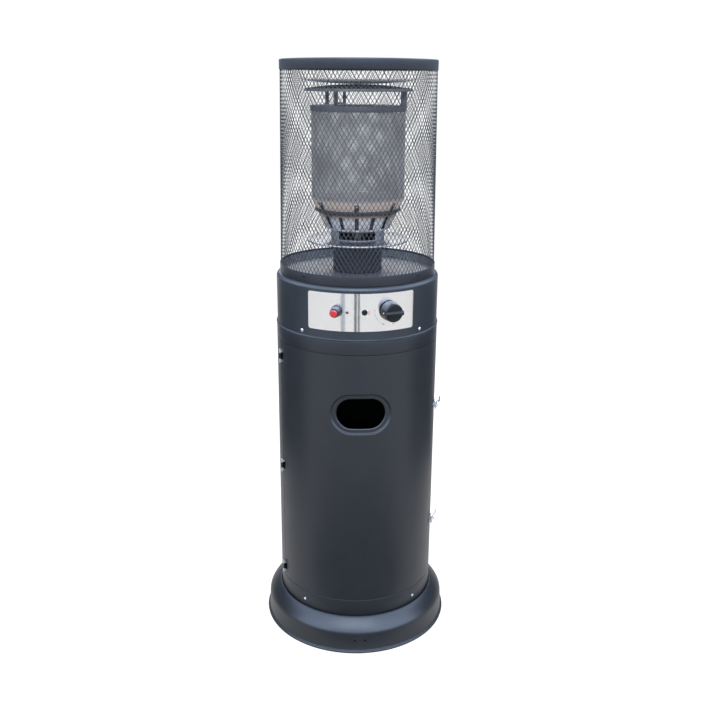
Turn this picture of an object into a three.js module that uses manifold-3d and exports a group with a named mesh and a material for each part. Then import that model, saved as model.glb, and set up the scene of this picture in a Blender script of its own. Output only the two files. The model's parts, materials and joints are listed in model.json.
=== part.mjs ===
import * as THREE from 'three';
import { mergeVertices } from 'three/addons/utils/BufferGeometryUtils.js';
import Module from 'manifold-3d';

// A free-standing gas heater: a round cabinet for a gas bottle, a control collar, and a burner
// inside a wire guard. Millimetres and degrees. +Z is up, the origin is on the floor under the
// axis, and the front faces -Y. An angle counts from the front towards +X.

const wasm = await Module();
wasm.setup();

// Clearances and cutting
const seatGap = 0.3;
const runningGap = 0.3;
const overrun = 2;
const mergeDistance = 1e-4;

// Sheet metal
const sheet = 1;
const thinSheet = 0.9;

// The heater is a stack, and each part of it stands on the one below
const baseHeight = 80;
const lowerRingHeight = 44;
const doorHeight = 621;
const upperRingHeight = 32;
const collarHeight = 121;
const guardBandHeight = 22.5;
const guardHeight = 472;
const coverSkirtHeight = 23;
const coverCrown = 1;
const doorBottom = baseHeight + lowerRingHeight;
const doorTop = doorBottom + doorHeight;
const collarBottom = doorTop + upperRingHeight;
const collarTop = collarBottom + collarHeight;
const guardBandTop = collarTop + guardBandHeight;
const overallHeight = collarTop + guardHeight;
const coverRimTop = overallHeight - coverCrown;
const coverSkirtBottom = overallHeight - coverSkirtHeight;

// Radii, from the cabinet out to the base and in to the guard
const bodyRadius = 191.5;
const baseFlare = 38.5;
const collarInset = 1.5;
const guardBandInset = 8.5;
const guardBandGap = 0.4;
const guardTaper = 6.1;
const coverGap = 0.6;
const baseRadius = bodyRadius + baseFlare;
const collarRadius = bodyRadius - collarInset;
const guardBandRadius = collarRadius - guardBandInset;
const guardBottomRadius = guardBandRadius - sheet - guardBandGap;
const guardTopRadius = guardBottomRadius - guardTaper;
const coverRadius = guardTopRadius + coverGap + sheet;

// Flanges of the rings
const flangeDepth = 2;
const spigotHeight = 15;
const doorStopHeight = 8;

// How finely the rounds are cut
const bodySegments = 40;
const burnerSegments = 30;
const smallSegments = 16;
const pinSegments = 10;

// Base dish
const baseSheet = 1.5;
const baseRimHeight = 6;
const baseRimDepth = 4;
const baseSlopeHeight = 30;
const baseSkirtInset = 6.5;
const baseShoulderRise = 2.5;
const baseLedge = 23.5;
const baseHoleRadius = 2.2;
const baseHoleSpacing = 25;
const baseHoleShare = 0.68;
const baseSkirtTop = baseHeight - baseSlopeHeight;
const baseSkirtRadius = baseRadius - baseSkirtInset;
const baseInnerRadius = bodyRadius - baseLedge;
const baseHoleHeight = baseHoleShare * baseSkirtTop;

// Bottle floor
const floorInset = 5.5;
const floorRadius = bodyRadius - floorInset;
const floorSheet = 1.5;
const floorRaise = 8;
const floorLipDepth = 6;

// Door, its seams and its hand hole
const hingeSeamAngle = -70.3;
const latchSeamAngle = 79;
const hingeAngle = -70.5;
const seamGap = 1;
const handHoleDrop = 140;
const handHoleHeight = doorTop - handHoleDrop;
const handHoleWidth = 115;
const handHoleTall = 72;
const handRimWidth = 137;
const handRimTall = 94;
const handRimDepth = 4.5;
const doorHemDepth = 9;
const doorHemEndGap = 6;
const jambOverlap = 11;
const jambGap = 1.3;

// Hinges
const topHingeDrop = 37;
const middleHingeShare = 0.49;
const lowHingeRise = 25;
const hingeHeights = [
  doorTop - topHingeDrop,
  doorBottom + middleHingeShare * doorHeight,
  doorBottom + lowHingeRise,
];
const hingeHeight = 33;
const knuckleRadius = 3.2;
const hingePinRadius = 1.6;
const hingeArmTall = 5.5;
const hingeArmThick = 1.3;
const hingeArmReach = 6.6;
const hingeLeafLength = 17;
const hingeLeafGap = 1.7;
const middleKnuckle = 13.6;
const hingeWindowMargin = 3;

// Latches
const latchShares = [0.723, 0.2255];
const latchHeights = latchShares.map((share) => doorBottom + share * doorHeight);
const latchOffset = 4.5;
const leverPivotOut = 6;
const leverPinRadius = 1.5;
const leverWidth = 14;
const leverLength = 24;
const leverTip = 6;
const leverThick = 1.2;
const bailPinReach = 6.5;
const bailPinDip = -8;
const bailPinRadius = 1.4;
const bailRodRadius = 1.2;
const plateThick = 1.2;
const earRadius = 3.4;
const latchBaseLength = 27;
const keeperOffset = 20;
const keeperLength = 14;
const keeperTabPlace = 4.6;
const keeperTabTop = 5.8;
const keeperTabWidth = 11;
const bailRodOut = 4.2;
const bailRodGap = 0.5;

// Upper ring and collar
const collarBeadProud = 2.6;
const collarBeadRadius = collarRadius + collarBeadProud;
const collarBeadHeight = 4;
const collarShoulder = 9;
const collarLedge = 24;
const ledgeRadius = collarRadius - collarLedge;

// Deck under the guard
const deckThick = 1.7;
const deckRimHeight = 16;
const deckRimGap = 2.3;
const deckFloor = collarTop + seatGap + deckThick;
const deckRimRadius = guardBottomRadius - deckRimGap;
const deckRimTop = deckFloor + deckRimHeight;

// Control panel
const panelHalfAngle = 37.5;
const panelRise = 23;
const panelHeight = 85;
const panelSheet = 1;
const panelCorner = 6;
const controlRise = 46;
const panelBottom = collarBottom + panelRise;
const panelTop = panelBottom + panelHeight;
const controlHeight = panelBottom + controlRise;

// Control knob, its stem and the gas valve
const knobAngle = 18.4;
const knobRadius = 22.5;
const knobStandOff = 3.6;
const knobDepth = 34;
const knobSkirtDepth = 20;
const knobFaceRadius = 20.5;
const knobRidgeWidth = 11;
const knobRidgeDepth = 8;
const knobTravel = 3;
const stemRadius = 3.5;
const stemFrontDepth = 24;
const stemRearDepth = 34;
const stemHoleRadius = 7;
const plugRadius = 7;
const plugFront = 8;
const plugRear = 38;
const valveBossRadius = 11;
const valveBossFront = 6;
const valveFront = 22;
const valveDepth = 40;
const valveWidth = 44;
const valveTall = 44;
const bracketWidth = 76;
const bracketTall = 56;
const bracketSheet = 1.5;
const bracketDepth = 10;
const inletRadius = 5.5;
const inletHexRadius = 9;
const inletHexLength = 12;
const inletLength = 38;
const inletBore = 3;

// Igniter
const igniterAngle = -16.6;
const barrelRadius = 11.6;
const barrelFrontRadius = 10;
const barrelLength = 24;
const igniterThreadRadius = 9.5;
const igniterRearLength = 48;
const buttonRadius = 8.1;
const buttonProud = 5;
const buttonTravel = 4.5;
const buttonPocket = 15;

// Sight port and indicator
const sightAngle = 1.8;
const sightRadius = 6.5;
const sightShankRadius = 4.2;
const indicatorAngle = -9.6;
const indicatorRadius = 3.5;
const indicatorShankRadius = 2.2;
const smallFittingProud = 1.8;
const smallFittingRear = 4;
const smallFittingDrop = 2.5;

// Tilt switch
const tiltAngle = 58;
const tiltWidth = 24;
const tiltDepth = 16;
const tiltTall = 30;
const tiltInset = 2.4;

// Burner stack
const drumRadius = 57;
const drumRise = 73;
const drumSheet = 1.2;
const deckHoleInset = 7;
const drumTop = deckFloor + drumRise;
const deckHoleRadius = drumRadius - deckHoleInset;
const shieldRadius = 118;
const shieldSheet = 1.2;
const shieldRim = 2.6;
const burnerBaseRadius = 62;
const burnerBaseRise = 26;
const burnerBaseTop = drumTop + burnerBaseRise;
const burnerTurn = -4.5;
const windowHalfAngle = 42;
const windowRise = 3;
const windowTall = 18.5;
const coneOverhang = 12;
const coneTopRadius = 94.5;
const coneRise = 41;
const coneBottomRadius = burnerBaseRadius + coneOverhang;
const coneTop = burnerBaseTop + coneRise;
const coneSlots = 15;
const slotWidth = 8;
const slotBottomShare = 0.1;
const slotTopShare = 0.82;
const linerGap = 4;
const lineRadius = 46;
const headInset = 8;
const headHeight = 15;
const headRadius = lineRadius - headInset;
const venturiRadius = 15;
const venturiThroat = 9;
const venturiRise = 26;
const jetRadius = 7;
const jetRise = 3;
const jetHeight = 17;
const venturiBottom = deckFloor + venturiRise;
const jetBottom = deckFloor + jetRise;
const jetTop = jetBottom + jetHeight;

// Emitter: it fills the height between the cone and the reflector's supports
const emitterRadius = 106;
const emitterFootRadius = 97;
const emitterTaper = 18;
const emitterRingHeight = 7;
const ringTabs = 7;
const ringTabWidth = 10;
const ringTabRise = 16;
const capRim = 12;

// Reflector and its supports
const supportAngles = [-38, 82, 202];
const supportInset = 5;
const supportWeb = 25;
const supportFlange = 13;
const supportEdge = 3;
const supportDrop = 62;
const supportRise = 37;
const supportRadius = emitterRadius - supportInset;
const supportTop = overallHeight - supportDrop;
const emitterTop = supportTop - supportRise;
const lowerRimRadius = 120.5;
const lowerRimDrop = 6;
const lowerDomeRise = 9;
const upperDishRise = 10;
const upperRimReach = 11;
const lowerRimBottom = supportTop - lowerRimDrop;
const lowerApex = supportTop + lowerDomeRise;
const upperRimRadius = lowerRimRadius + upperRimReach;
const upperRimTop = lowerApex + upperDishRise;
const reflectorStud = 3;
const reflectorNutRadius = 6;
const reflectorNutHeight = 8;

// Gas pipes and leads
const lineSpread = 14;
const lineBendDrop = 14;
const lineBend = collarTop - lineBendDrop;
const lineHole = 3.4;
const mainTubeRadius = 4;
const pilotTubeRadius = 2;
const leadRadius = 1.6;
const tubeDrop = 8;
const tubeRise = 12;
const pilotPlateRise = 21;
const pilotPlateHalfWidth = 16;
const pilotPlateReach = 30;
const pilotHoodRadius = 4.5;
const pilotHoodHeight = 20;
const thermocoupleRise = 26;
const electrodeDrop = 12;
const electrodeLength = 28;
const electrodeRadius = 2.8;
const electrodeTipRadius = 1;
const electrodeTipLength = 12;
const pilotPlateHeight = burnerBaseTop + pilotPlateRise;
const pilotHoodTop = pilotPlateHeight + pilotHoodHeight;
const thermocoupleTop = pilotPlateHeight + thermocoupleRise;
const electrodeBottom = pilotPlateHeight - electrodeDrop;
const electrodeTop = electrodeBottom + electrodeLength;
const electrodeTipTop = electrodeTop + electrodeTipLength;

// Guard mesh, in a front and a back half that meet at the sides
const meshColumns = 10;
const meshRows = 5;
const meshThick = 1.5;
const meshSeam = 0.6;
const meshOpenShare = 0.86;
const meshEdgeOpenShare = 0.76;

const degrees = THREE.MathUtils.degToRad;

function paint(color, roughness, metalness) {
  return new THREE.MeshStandardMaterial({ color, roughness, metalness });
}

const coat = paint(0x2c3037, 0.45, 0.3);
const blackCoat = paint(0x121316, 0.6, 0.2);
const stainless = paint(0xc9cbce, 0.25, 1);
const dullSteel = paint(0x85878b, 0.45, 1);
const zinc = paint(0xb4b7bb, 0.4, 1);
const blackPlastic = paint(0x15161a, 0.4, 0);
const redPlastic = paint(0xc8202a, 0.35, 0);
const redLens = paint(0x5a0d12, 0.2, 0);
const brass = paint(0xb08d4a, 0.35, 1);
const copper = paint(0xb06a3a, 0.35, 1);
const castMetal = paint(0x8b8d90, 0.6, 0.9);
const ceramic = paint(0xe6e0d2, 0.5, 0);

// Keeps only the corners, merges the shared ones, drops faces without area and faces them outward.
function closed(geometry) {
  geometry.deleteAttribute('normal');
  geometry.deleteAttribute('uv');
  const merged = mergeVertices(geometry, mergeDistance);
  const place = merged.attributes.position;
  const corners = merged.index.array;
  const [a, b, c] = [0, 1, 2].map(() => new THREE.Vector3());
  const faces = [];
  let volume = 0;
  for (let i = 0; i < corners.length; i += 3) {
    const [p, q, r] = corners.slice(i, i + 3);
    if (p !== q && q !== r && r !== p) {
      faces.push([p, q, r]);
      a.fromBufferAttribute(place, p);
      b.fromBufferAttribute(place, q);
      c.fromBufferAttribute(place, r);
      volume += a.dot(b.cross(c));
    }
  }
  const outward = volume < 0 ? faces.map(([p, q, r]) => [p, r, q]) : faces;
  merged.setIndex(outward.flat());
  return merged;
}

function solid(part) {
  if (!(part instanceof THREE.BufferGeometry)) return part;
  const body = closed(part);
  return new wasm.Manifold(new wasm.Mesh({
    numProp: 3,
    vertProperties: new Float32Array(body.attributes.position.array),
    triVerts: new Uint32Array(body.index.array),
  }));
}

function surface(part) {
  if (part instanceof THREE.BufferGeometry) return closed(part);
  const mesh = part.getMesh();
  const geometry = new THREE.BufferGeometry();
  geometry.setAttribute('position', new THREE.BufferAttribute(mesh.vertProperties.slice(), 3));
  geometry.setIndex(new THREE.BufferAttribute(mesh.triVerts.slice(), 1));
  return geometry;
}

const join = (...parts) => parts.map(solid).reduce((whole, part) => whole.add(part));
const cut = (part, ...tools) => tools.map(solid).reduce((whole, tool) => whole.subtract(tool), solid(part));
const overlap = (part, other) => solid(part).intersect(solid(other));

// A point at an angle and a radius, and an outline turned about the vertical axis.
const polar = (angle, radius) => [radius * Math.sin(degrees(angle)), -radius * Math.cos(degrees(angle))];

function turned(outline, segments = bodySegments) {
  const ring = outline[0][0] > 0 ? [...outline, outline[0]] : outline;
  const points = ring.map(([radius, height]) => new THREE.Vector2(radius, height));
  return new THREE.LatheGeometry(points, segments).rotateX(Math.PI / 2);
}

function prism(points, bottom, top) {
  const shape = new THREE.Shape(points.map(([x, y]) => new THREE.Vector2(x, y)));
  const options = { depth: top - bottom, bevelEnabled: false };
  return new THREE.ExtrudeGeometry(shape, options).translate(0, 0, bottom);
}

// An upright curved wall between two angles. Its corners line up with those of the full rounds.
function arcWall(inner, outer, from, to, bottom, top) {
  const step = 360 / bodySegments;
  const angles = [from];
  for (let turn = Math.floor(from / step) + 1; turn * step < to; turn += 1) angles.push(turn * step);
  angles.push(to);
  const near = angles.map((angle) => polar(angle, outer));
  const far = angles.map((angle) => polar(angle, inner)).reverse();
  return prism([...near, ...far], bottom, top);
}

function block(x0, x1, y0, y1, z0, z1) {
  const box = new THREE.BoxGeometry(x1 - x0, y1 - y0, z1 - z0);
  return box.translate((x0 + x1) / 2, (y0 + y1) / 2, (z0 + z1) / 2);
}

// Round bars: along Y, which is in and out at a station, and along Z.
function bar(radius, from, to, segments = smallSegments) {
  const length = Math.abs(to - from);
  return new THREE.CylinderGeometry(radius, radius, length, segments).translate(0, (from + to) / 2, 0);
}

function post(radius, bottom, top, segments = smallSegments) {
  return bar(radius, bottom, top, segments).rotateX(Math.PI / 2);
}

// An outline of (radius, depth) turned about a line that points out of the heater.
function turnedOut(outline, segments = smallSegments) {
  return turned(outline, segments).rotateX(Math.PI / 2);
}

function pipe(route, radius, steps = 12, sides = 6) {
  const corners = Array.from({ length: sides }, (_, i) => 2 * Math.PI * i / sides);
  const section = corners.map((turn) => new THREE.Vector2(radius * Math.cos(turn), radius * Math.sin(turn)));
  const points = route.map((point) => new THREE.Vector3(...point));
  const path = new THREE.CatmullRomCurve3(points, false, 'centripetal');
  return new THREE.ExtrudeGeometry(new THREE.Shape(section), { extrudePath: path, steps });
}

// A rounded shape seen from the front, cut straight through along Y.
function frontCut(width, tall, cornerX, cornerZ, centre, near, far) {
  const [x, z] = [width / 2, tall / 2];
  const shape = new THREE.Shape();
  shape.absellipse(x - cornerX, z - cornerZ, cornerX, cornerZ, 0, Math.PI / 2);
  shape.absellipse(-x + cornerX, z - cornerZ, cornerX, cornerZ, Math.PI / 2, Math.PI);
  shape.absellipse(-x + cornerX, -z + cornerZ, cornerX, cornerZ, Math.PI, 1.5 * Math.PI);
  shape.absellipse(x - cornerX, -z + cornerZ, cornerX, cornerZ, 1.5 * Math.PI, 2 * Math.PI);
  const options = { depth: far - near, bevelEnabled: false, curveSegments: 4 };
  return new THREE.ExtrudeGeometry(shape, options).rotateX(Math.PI / 2).translate(0, far, centre);
}

const heater = new THREE.Group();

function place(name, part, material, parent = heater) {
  const mesh = new THREE.Mesh(surface(part), material);
  mesh.name = name;
  parent.add(mesh);
  return mesh;
}

// A group on the wall: its own X runs along the wall, -Y points out and Z is up.
function station(angle, radius, height) {
  const group = new THREE.Group();
  const [x, y] = polar(angle, radius);
  group.position.set(x, y, height);
  group.rotation.z = degrees(angle);
  heater.add(group);
  return group;
}

// Moves a cutter made at a station's own origin to where the station stands.
function atStation(part, angle, radius, height) {
  const [x, y] = polar(angle, radius);
  return part.rotateZ(degrees(angle)).translate(x, y, height);
}

function makeBase() {
  const slope = baseSkirtRadius - bodyRadius;
  const drop = baseHeight + baseShoulderRise - baseSkirtTop;
  const outer = [
    [baseRadius - baseRimDepth / 4, 0],
    [baseRadius, baseRimHeight / 4],
    [baseRadius, 3 * baseRimHeight / 4],
    [baseRadius - baseRimDepth / 3, baseRimHeight],
    [baseRadius - baseRimDepth, baseRimHeight + baseSheet],
    [baseSkirtRadius, baseSkirtTop],
    [baseSkirtRadius - 0.1 * slope, baseSkirtTop + 0.24 * drop],
    [baseSkirtRadius - 0.6 * slope, baseSkirtTop + 0.74 * drop],
    [bodyRadius + 0.12 * slope, baseHeight + baseShoulderRise],
    [bodyRadius, baseHeight - seatGap],
    [baseInnerRadius, baseHeight - seatGap],
  ];
  const inner = [
    [baseInnerRadius, baseHeight - seatGap - baseSheet],
    [bodyRadius + 0.06 * slope, baseHeight - seatGap - baseSheet],
    [baseSkirtRadius - 0.6 * slope - baseSheet, baseSkirtTop + 0.74 * drop - baseSheet],
    [baseSkirtRadius - baseSheet, baseSkirtTop - baseSheet],
    [baseRadius - baseRimDepth - baseSheet, 0],
  ];
  const hole = (x) => bar(baseHoleRadius, -baseRadius - overrun, -baseRadius / 2, pinSegments)
    .translate(x, 0, baseHoleHeight);
  const dish = cut(turned([...outer, ...inner]), hole(-baseHoleSpacing / 2), hole(baseHoleSpacing / 2));
  place('base_dish', dish, coat);

  const floorUnder = baseHeight;
  const floorTop = floorUnder + floorRaise;
  place('bottle_floor', turned([
    [0, floorTop],
    [floorRadius, floorTop],
    [floorRadius, floorUnder],
    [floorRadius - floorLipDepth, floorUnder],
    [floorRadius - floorLipDepth, floorUnder + floorSheet],
    [floorRadius - floorSheet, floorUnder + floorSheet],
    [floorRadius - floorSheet, floorTop - floorSheet],
    [0, floorTop - floorSheet],
  ]), blackCoat);
}

// The rings above and below the door step inward behind it, and the upper one again in the collar.
function makeRings() {
  const lowerTop = doorBottom - seamGap / 2;
  const stop = bodyRadius - flangeDepth;
  place('lower_ring', turned([
    [bodyRadius, baseHeight],
    [bodyRadius, lowerTop],
    [stop, lowerTop],
    [stop, doorBottom + doorStopHeight],
    [stop - sheet, doorBottom + doorStopHeight],
    [stop - sheet, lowerTop - sheet],
    [bodyRadius - sheet, lowerTop - sheet],
    [bodyRadius - sheet, baseHeight],
  ]), coat);

  const ring = collarBottom - seatGap;
  const spigot = collarRadius - sheet - seatGap - sheet / 2;
  place('upper_ring', turned([
    [bodyRadius, doorTop + seamGap / 2],
    [bodyRadius, ring],
    [spigot, ring],
    [spigot, ring + spigotHeight],
    [spigot - sheet, ring + spigotHeight],
    [spigot - sheet, ring - sheet],
    [bodyRadius - sheet, ring - sheet],
    [bodyRadius - sheet, doorTop + seamGap / 2 + sheet],
    [stop - sheet, doorTop + seamGap / 2 + sheet],
    [stop - sheet, doorTop - doorStopHeight],
    [stop, doorTop - doorStopHeight],
    [stop, doorTop + seamGap / 2],
  ]), coat);
}

const doorFoot = doorBottom + seamGap / 2;
const doorHead = doorTop - seamGap / 2;
const hingeAxisRadius = bodyRadius + knuckleRadius + seatGap;
const doorFreeEdge = latchSeamAngle - degreesAlong(seamGap / 2);
const shellStart = latchSeamAngle + degreesAlong(seamGap / 2);
const shellEnd = 360 + 2 * hingeAngle - hingeSeamAngle;

// The angle that a length along the body wall covers.
function degreesAlong(length) {
  return THREE.MathUtils.radToDeg(length / bodyRadius);
}

function hingeWindows() {
  const tall = hingeHeight - hingeWindowMargin;
  const reach = hingeArmReach + hingeWindowMargin;
  return hingeHeights.map((height) => atStation(
    block(-reach, reach, -overrun, knuckleRadius + flangeDepth * 2 + overrun, -tall / 2, tall / 2),
    hingeAngle, hingeAxisRadius, height));
}

function makeBody() {
  const shellWall = arcWall(bodyRadius - sheet, bodyRadius, shellStart, shellEnd, doorFoot, doorHead);
  const jambOuter = bodyRadius - sheet - jambGap;
  const jambEnd = latchSeamAngle + degreesAlong(flangeDepth);
  const jamb = arcWall(jambOuter - sheet, jambOuter, latchSeamAngle - degreesAlong(jambOverlap), jambEnd,
    doorFoot + doorStopHeight + seamGap, doorHead - doorStopHeight - seamGap);
  const jambWeb = arcWall(jambOuter - sheet, bodyRadius - sheet / 2, shellStart, jambEnd,
    doorFoot + doorStopHeight + seamGap, doorHead - doorStopHeight - seamGap);
  place('rear_shell', cut(join(shellWall, jambWeb, jamb), ...hingeWindows()), coat);

  const skin = arcWall(bodyRadius - sheet, bodyRadius, hingeSeamAngle, doorFreeEdge, doorFoot, doorHead);
  const near = -bodyRadius - overrun;
  const far = -bodyRadius / 2;
  const stadium = (width, tall) => frontCut(width, tall, tall / 2, tall / 2, handHoleHeight, near, far);
  const rimSpan = 2 * panelHalfAngle / 3;
  const band = (inner, outer) => arcWall(inner, outer, -rimSpan, rimSpan,
    handHoleHeight - handRimTall, handHoleHeight + handRimTall);
  const rimInner = bodyRadius - handRimDepth;
  const rimWall = cut(overlap(band(rimInner - sheet, bodyRadius), stadium(handRimWidth, handRimTall)),
    stadium(handRimWidth - 2 * sheet, handRimTall - 2 * sheet));
  const rimPlate = cut(overlap(band(rimInner - sheet, rimInner), stadium(handRimWidth, handRimTall)),
    stadium(handHoleWidth, handHoleTall));
  const hemFoot = doorFoot + doorStopHeight + doorHemEndGap;
  const hemHead = doorHead - doorStopHeight - doorHemEndGap;
  const hem = arcWall(bodyRadius - sheet - doorHemDepth, bodyRadius - 0.9 * sheet,
    latchSeamAngle - degreesAlong(jambOverlap + 2 * seamGap + sheet),
    latchSeamAngle - degreesAlong(jambOverlap + 2 * seamGap), hemFoot, hemHead);
  const door = join(cut(skin, stadium(handRimWidth - sheet, handRimTall - sheet)), rimWall, rimPlate, hem);
  place('door_panel', cut(door, ...hingeWindows()), coat);
}

// A hinge stands on its pin's axis: the door leaf has the two end knuckles, and the frame leaf
// the middle one and the pin. Each leaf's arms pass through the wall to a plate inside it.
function makeHinges() {
  const wallIn = hingeAxisRadius - bodyRadius + sheet;
  const plateNear = wallIn + hingeLeafGap;
  const armOut = knuckleRadius - hingeArmThick;
  const half = hingeHeight / 2;
  const middle = middleKnuckle / 2;
  const arm = (side, bottom, top) => [
    block(Math.min(0, side * hingeArmReach), Math.max(0, side * hingeArmReach),
      armOut, knuckleRadius, bottom, top),
    block(Math.min(side * (hingeArmReach - hingeArmThick), side * hingeArmReach),
      Math.max(side * (hingeArmReach - hingeArmThick), side * hingeArmReach),
      armOut, plateNear + hingeArmThick, bottom, top),
  ];
  const plate = (side) => block(
    Math.min(side * (hingeArmReach - hingeArmThick), side * hingeLeafLength),
    Math.max(side * (hingeArmReach - hingeArmThick), side * hingeLeafLength),
    plateNear, plateNear + hingeArmThick, -half, half);
  const bore = post(hingePinRadius + runningGap, -half - overrun, half + overrun, pinSegments);
  const armMiddle = (half + middle + runningGap) / 2;
  hingeHeights.forEach((height, i) => {
    const hinge = station(hingeAngle, hingeAxisRadius, height);
    const doorLeaf = cut(join(
      post(knuckleRadius, -half, -middle - runningGap, pinSegments),
      post(knuckleRadius, middle + runningGap, half, pinSegments),
      ...arm(1, -armMiddle - hingeArmTall / 2, -armMiddle + hingeArmTall / 2),
      ...arm(1, armMiddle - hingeArmTall / 2, armMiddle + hingeArmTall / 2),
      plate(1)), bore);
    place(`hinge_door_leaf_${i + 1}`, doorLeaf, zinc, hinge);
    const frameLeaf = join(
      post(knuckleRadius, -middle, middle, pinSegments),
      post(hingePinRadius, -half, half, pinSegments),
      ...arm(-1, -hingeArmTall / 2, hingeArmTall / 2),
      plate(-1));
    place(`hinge_frame_leaf_${i + 1}`, frameLeaf, zinc, hinge);
  });
}

// Latch outlines are drawn as (along the wall, out from the wall) and made upright.
const outline = (points, bottom, top) => prism(points.map(([x, out]) => [x, -out]), bottom, top);
const rodAt = (x, out, radius, bottom, top, segments = pinSegments) =>
  post(radius, bottom, top, segments).translate(x, -out, 0);
const bothSides = (make) => [1, -1].map(make);

function makeLatches() {
  const latchAngle = latchSeamAngle + degreesAlong(latchOffset);
  const keeperTurn = degreesAlong(keeperOffset);
  const earIn = leverWidth / 2 + runningGap;
  const earOut = earIn + plateThick;
  const bailIn = earOut + runningGap;
  const bailOut = bailIn + plateThick;
  const pinX = bailPinReach * Math.cos(degrees(bailPinDip));
  const pinOut = leverPivotOut + bailPinReach * Math.sin(degrees(bailPinDip));
  const side = (sign, from, to) => [Math.min(sign * from, sign * to), Math.max(sign * from, sign * to)];

  // The bail's cross rod rests behind the keeper's tab, which stands on the curved door.
  const rodAlong = keeperTabPlace - plateThick / 2 - bailRodGap - bailRodRadius;
  const [c, s] = [Math.cos(degrees(keeperTurn)), Math.sin(degrees(keeperTurn))];
  const rodX = -bodyRadius * s + rodAlong * c - bailRodOut * s;
  const rodOut = bodyRadius * (c - 1) + rodAlong * s + bailRodOut * c;

  latchHeights.forEach((height, i) => {
    const latch = station(latchAngle, bodyRadius, height);
    const footStart = -earRadius;
    const base = cut(join(
      block(footStart, footStart + latchBaseLength, -seatGap - plateThick, -seatGap, -bailOut, bailOut),
      ...bothSides((sign) => join(
        outline([
          [-earRadius, seatGap], [earRadius, seatGap],
          [earRadius, leverPivotOut], [-earRadius, leverPivotOut],
        ], ...side(sign, earIn, earOut)),
        rodAt(0, leverPivotOut, earRadius, ...side(sign, earIn, earOut)),
      ))),
    rodAt(0, leverPivotOut, leverPinRadius + runningGap, -earOut - overrun, earOut + overrun));
    place(`latch_base_${i + 1}`, base, zinc, latch);

    const webOut = leverPivotOut + 2.1 * leverPinRadius;
    const lever = join(
      outline([
        [-earRadius / 2, webOut], [leverLength, webOut], [leverLength + leverTip, webOut + leverTip / 2],
        [leverLength + leverTip, webOut + leverTip / 2 + leverThick], [leverLength, webOut + leverThick],
        [-earRadius / 2, webOut + leverThick],
      ], -leverWidth / 2, leverWidth / 2),
      ...bothSides((sign) => outline([
        [-earRadius / 2 - leverThick / 2, webOut + leverThick / 2],
        [-earRadius / 2 - leverThick / 2, leverPivotOut - leverPinRadius],
        [0, leverPivotOut - 1.5 * leverPinRadius],
        [pinX, pinOut - 1.5 * bailPinRadius],
        [0.8 * leverLength, pinOut - bailPinRadius],
        [leverLength, leverPivotOut + leverPinRadius],
        [leverLength, webOut + leverThick / 2],
      ], ...side(sign, leverWidth / 2 - plateThick, leverWidth / 2))),
      rodAt(0, leverPivotOut, leverPinRadius, -earOut, earOut),
      rodAt(pinX, pinOut, bailPinRadius, -bailOut, bailOut));
    place(`latch_lever_${i + 1}`, lever, zinc, latch);

    const bailLength = Math.hypot(rodX - pinX, rodOut - pinOut);
    const bailHalf = bailPinRadius + runningGap + plateThick / 2;
    const bailTurn = Math.atan2(rodOut - pinOut, rodX - pinX);
    const link = (sign) => join(
      block(0, bailLength, -bailHalf, bailHalf, ...side(sign, bailIn, bailOut)),
      post(bailHalf, ...side(sign, bailIn, bailOut), pinSegments),
      post(bailHalf, ...side(sign, bailIn, bailOut), pinSegments).translate(bailLength, 0, 0));
    const rod = post(bailRodRadius, -bailOut, bailOut, pinSegments).translate(bailLength, 0, 0);
    const bail = cut(join(...bothSides(link), rod),
      post(bailPinRadius + runningGap, -bailOut - overrun, bailOut + overrun, pinSegments));
    const bailMesh = place(`latch_bail_${i + 1}`, bail, zinc, latch);
    bailMesh.position.set(pinX, -pinOut, 0);
    bailMesh.rotation.z = -bailTurn;

    const keeperStation = station(latchAngle - keeperTurn, bodyRadius, height);
    const keeperEnd = keeperTabPlace + plateThick / 2;
    const [foot, tab] = [leverWidth / 2, keeperTabWidth / 2];
    const keeper = join(
      block(keeperEnd - keeperLength, keeperEnd, -seatGap - plateThick, -seatGap, -foot, foot),
      block(keeperEnd - plateThick, keeperEnd, -keeperTabTop, -seatGap, -tab, tab));
    place(`latch_keeper_${i + 1}`, keeper, zinc, keeperStation);
  });
}

// Where the control panel's fittings pass the panel and the collar.
const smallFittingHeight = controlHeight - smallFittingDrop;
const fittings = [
  { angle: knobAngle, height: controlHeight, radius: stemHoleRadius },
  { angle: igniterAngle, height: controlHeight, radius: igniterThreadRadius + runningGap },
  { angle: sightAngle, height: smallFittingHeight, radius: sightShankRadius + runningGap },
  { angle: indicatorAngle, height: smallFittingHeight, radius: indicatorShankRadius + runningGap },
];

function fittingHoles() {
  return fittings.map(({ angle, height, radius }) =>
    atStation(bar(radius, -overrun * 2, overrun * 3), angle, collarRadius, height));
}

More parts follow.
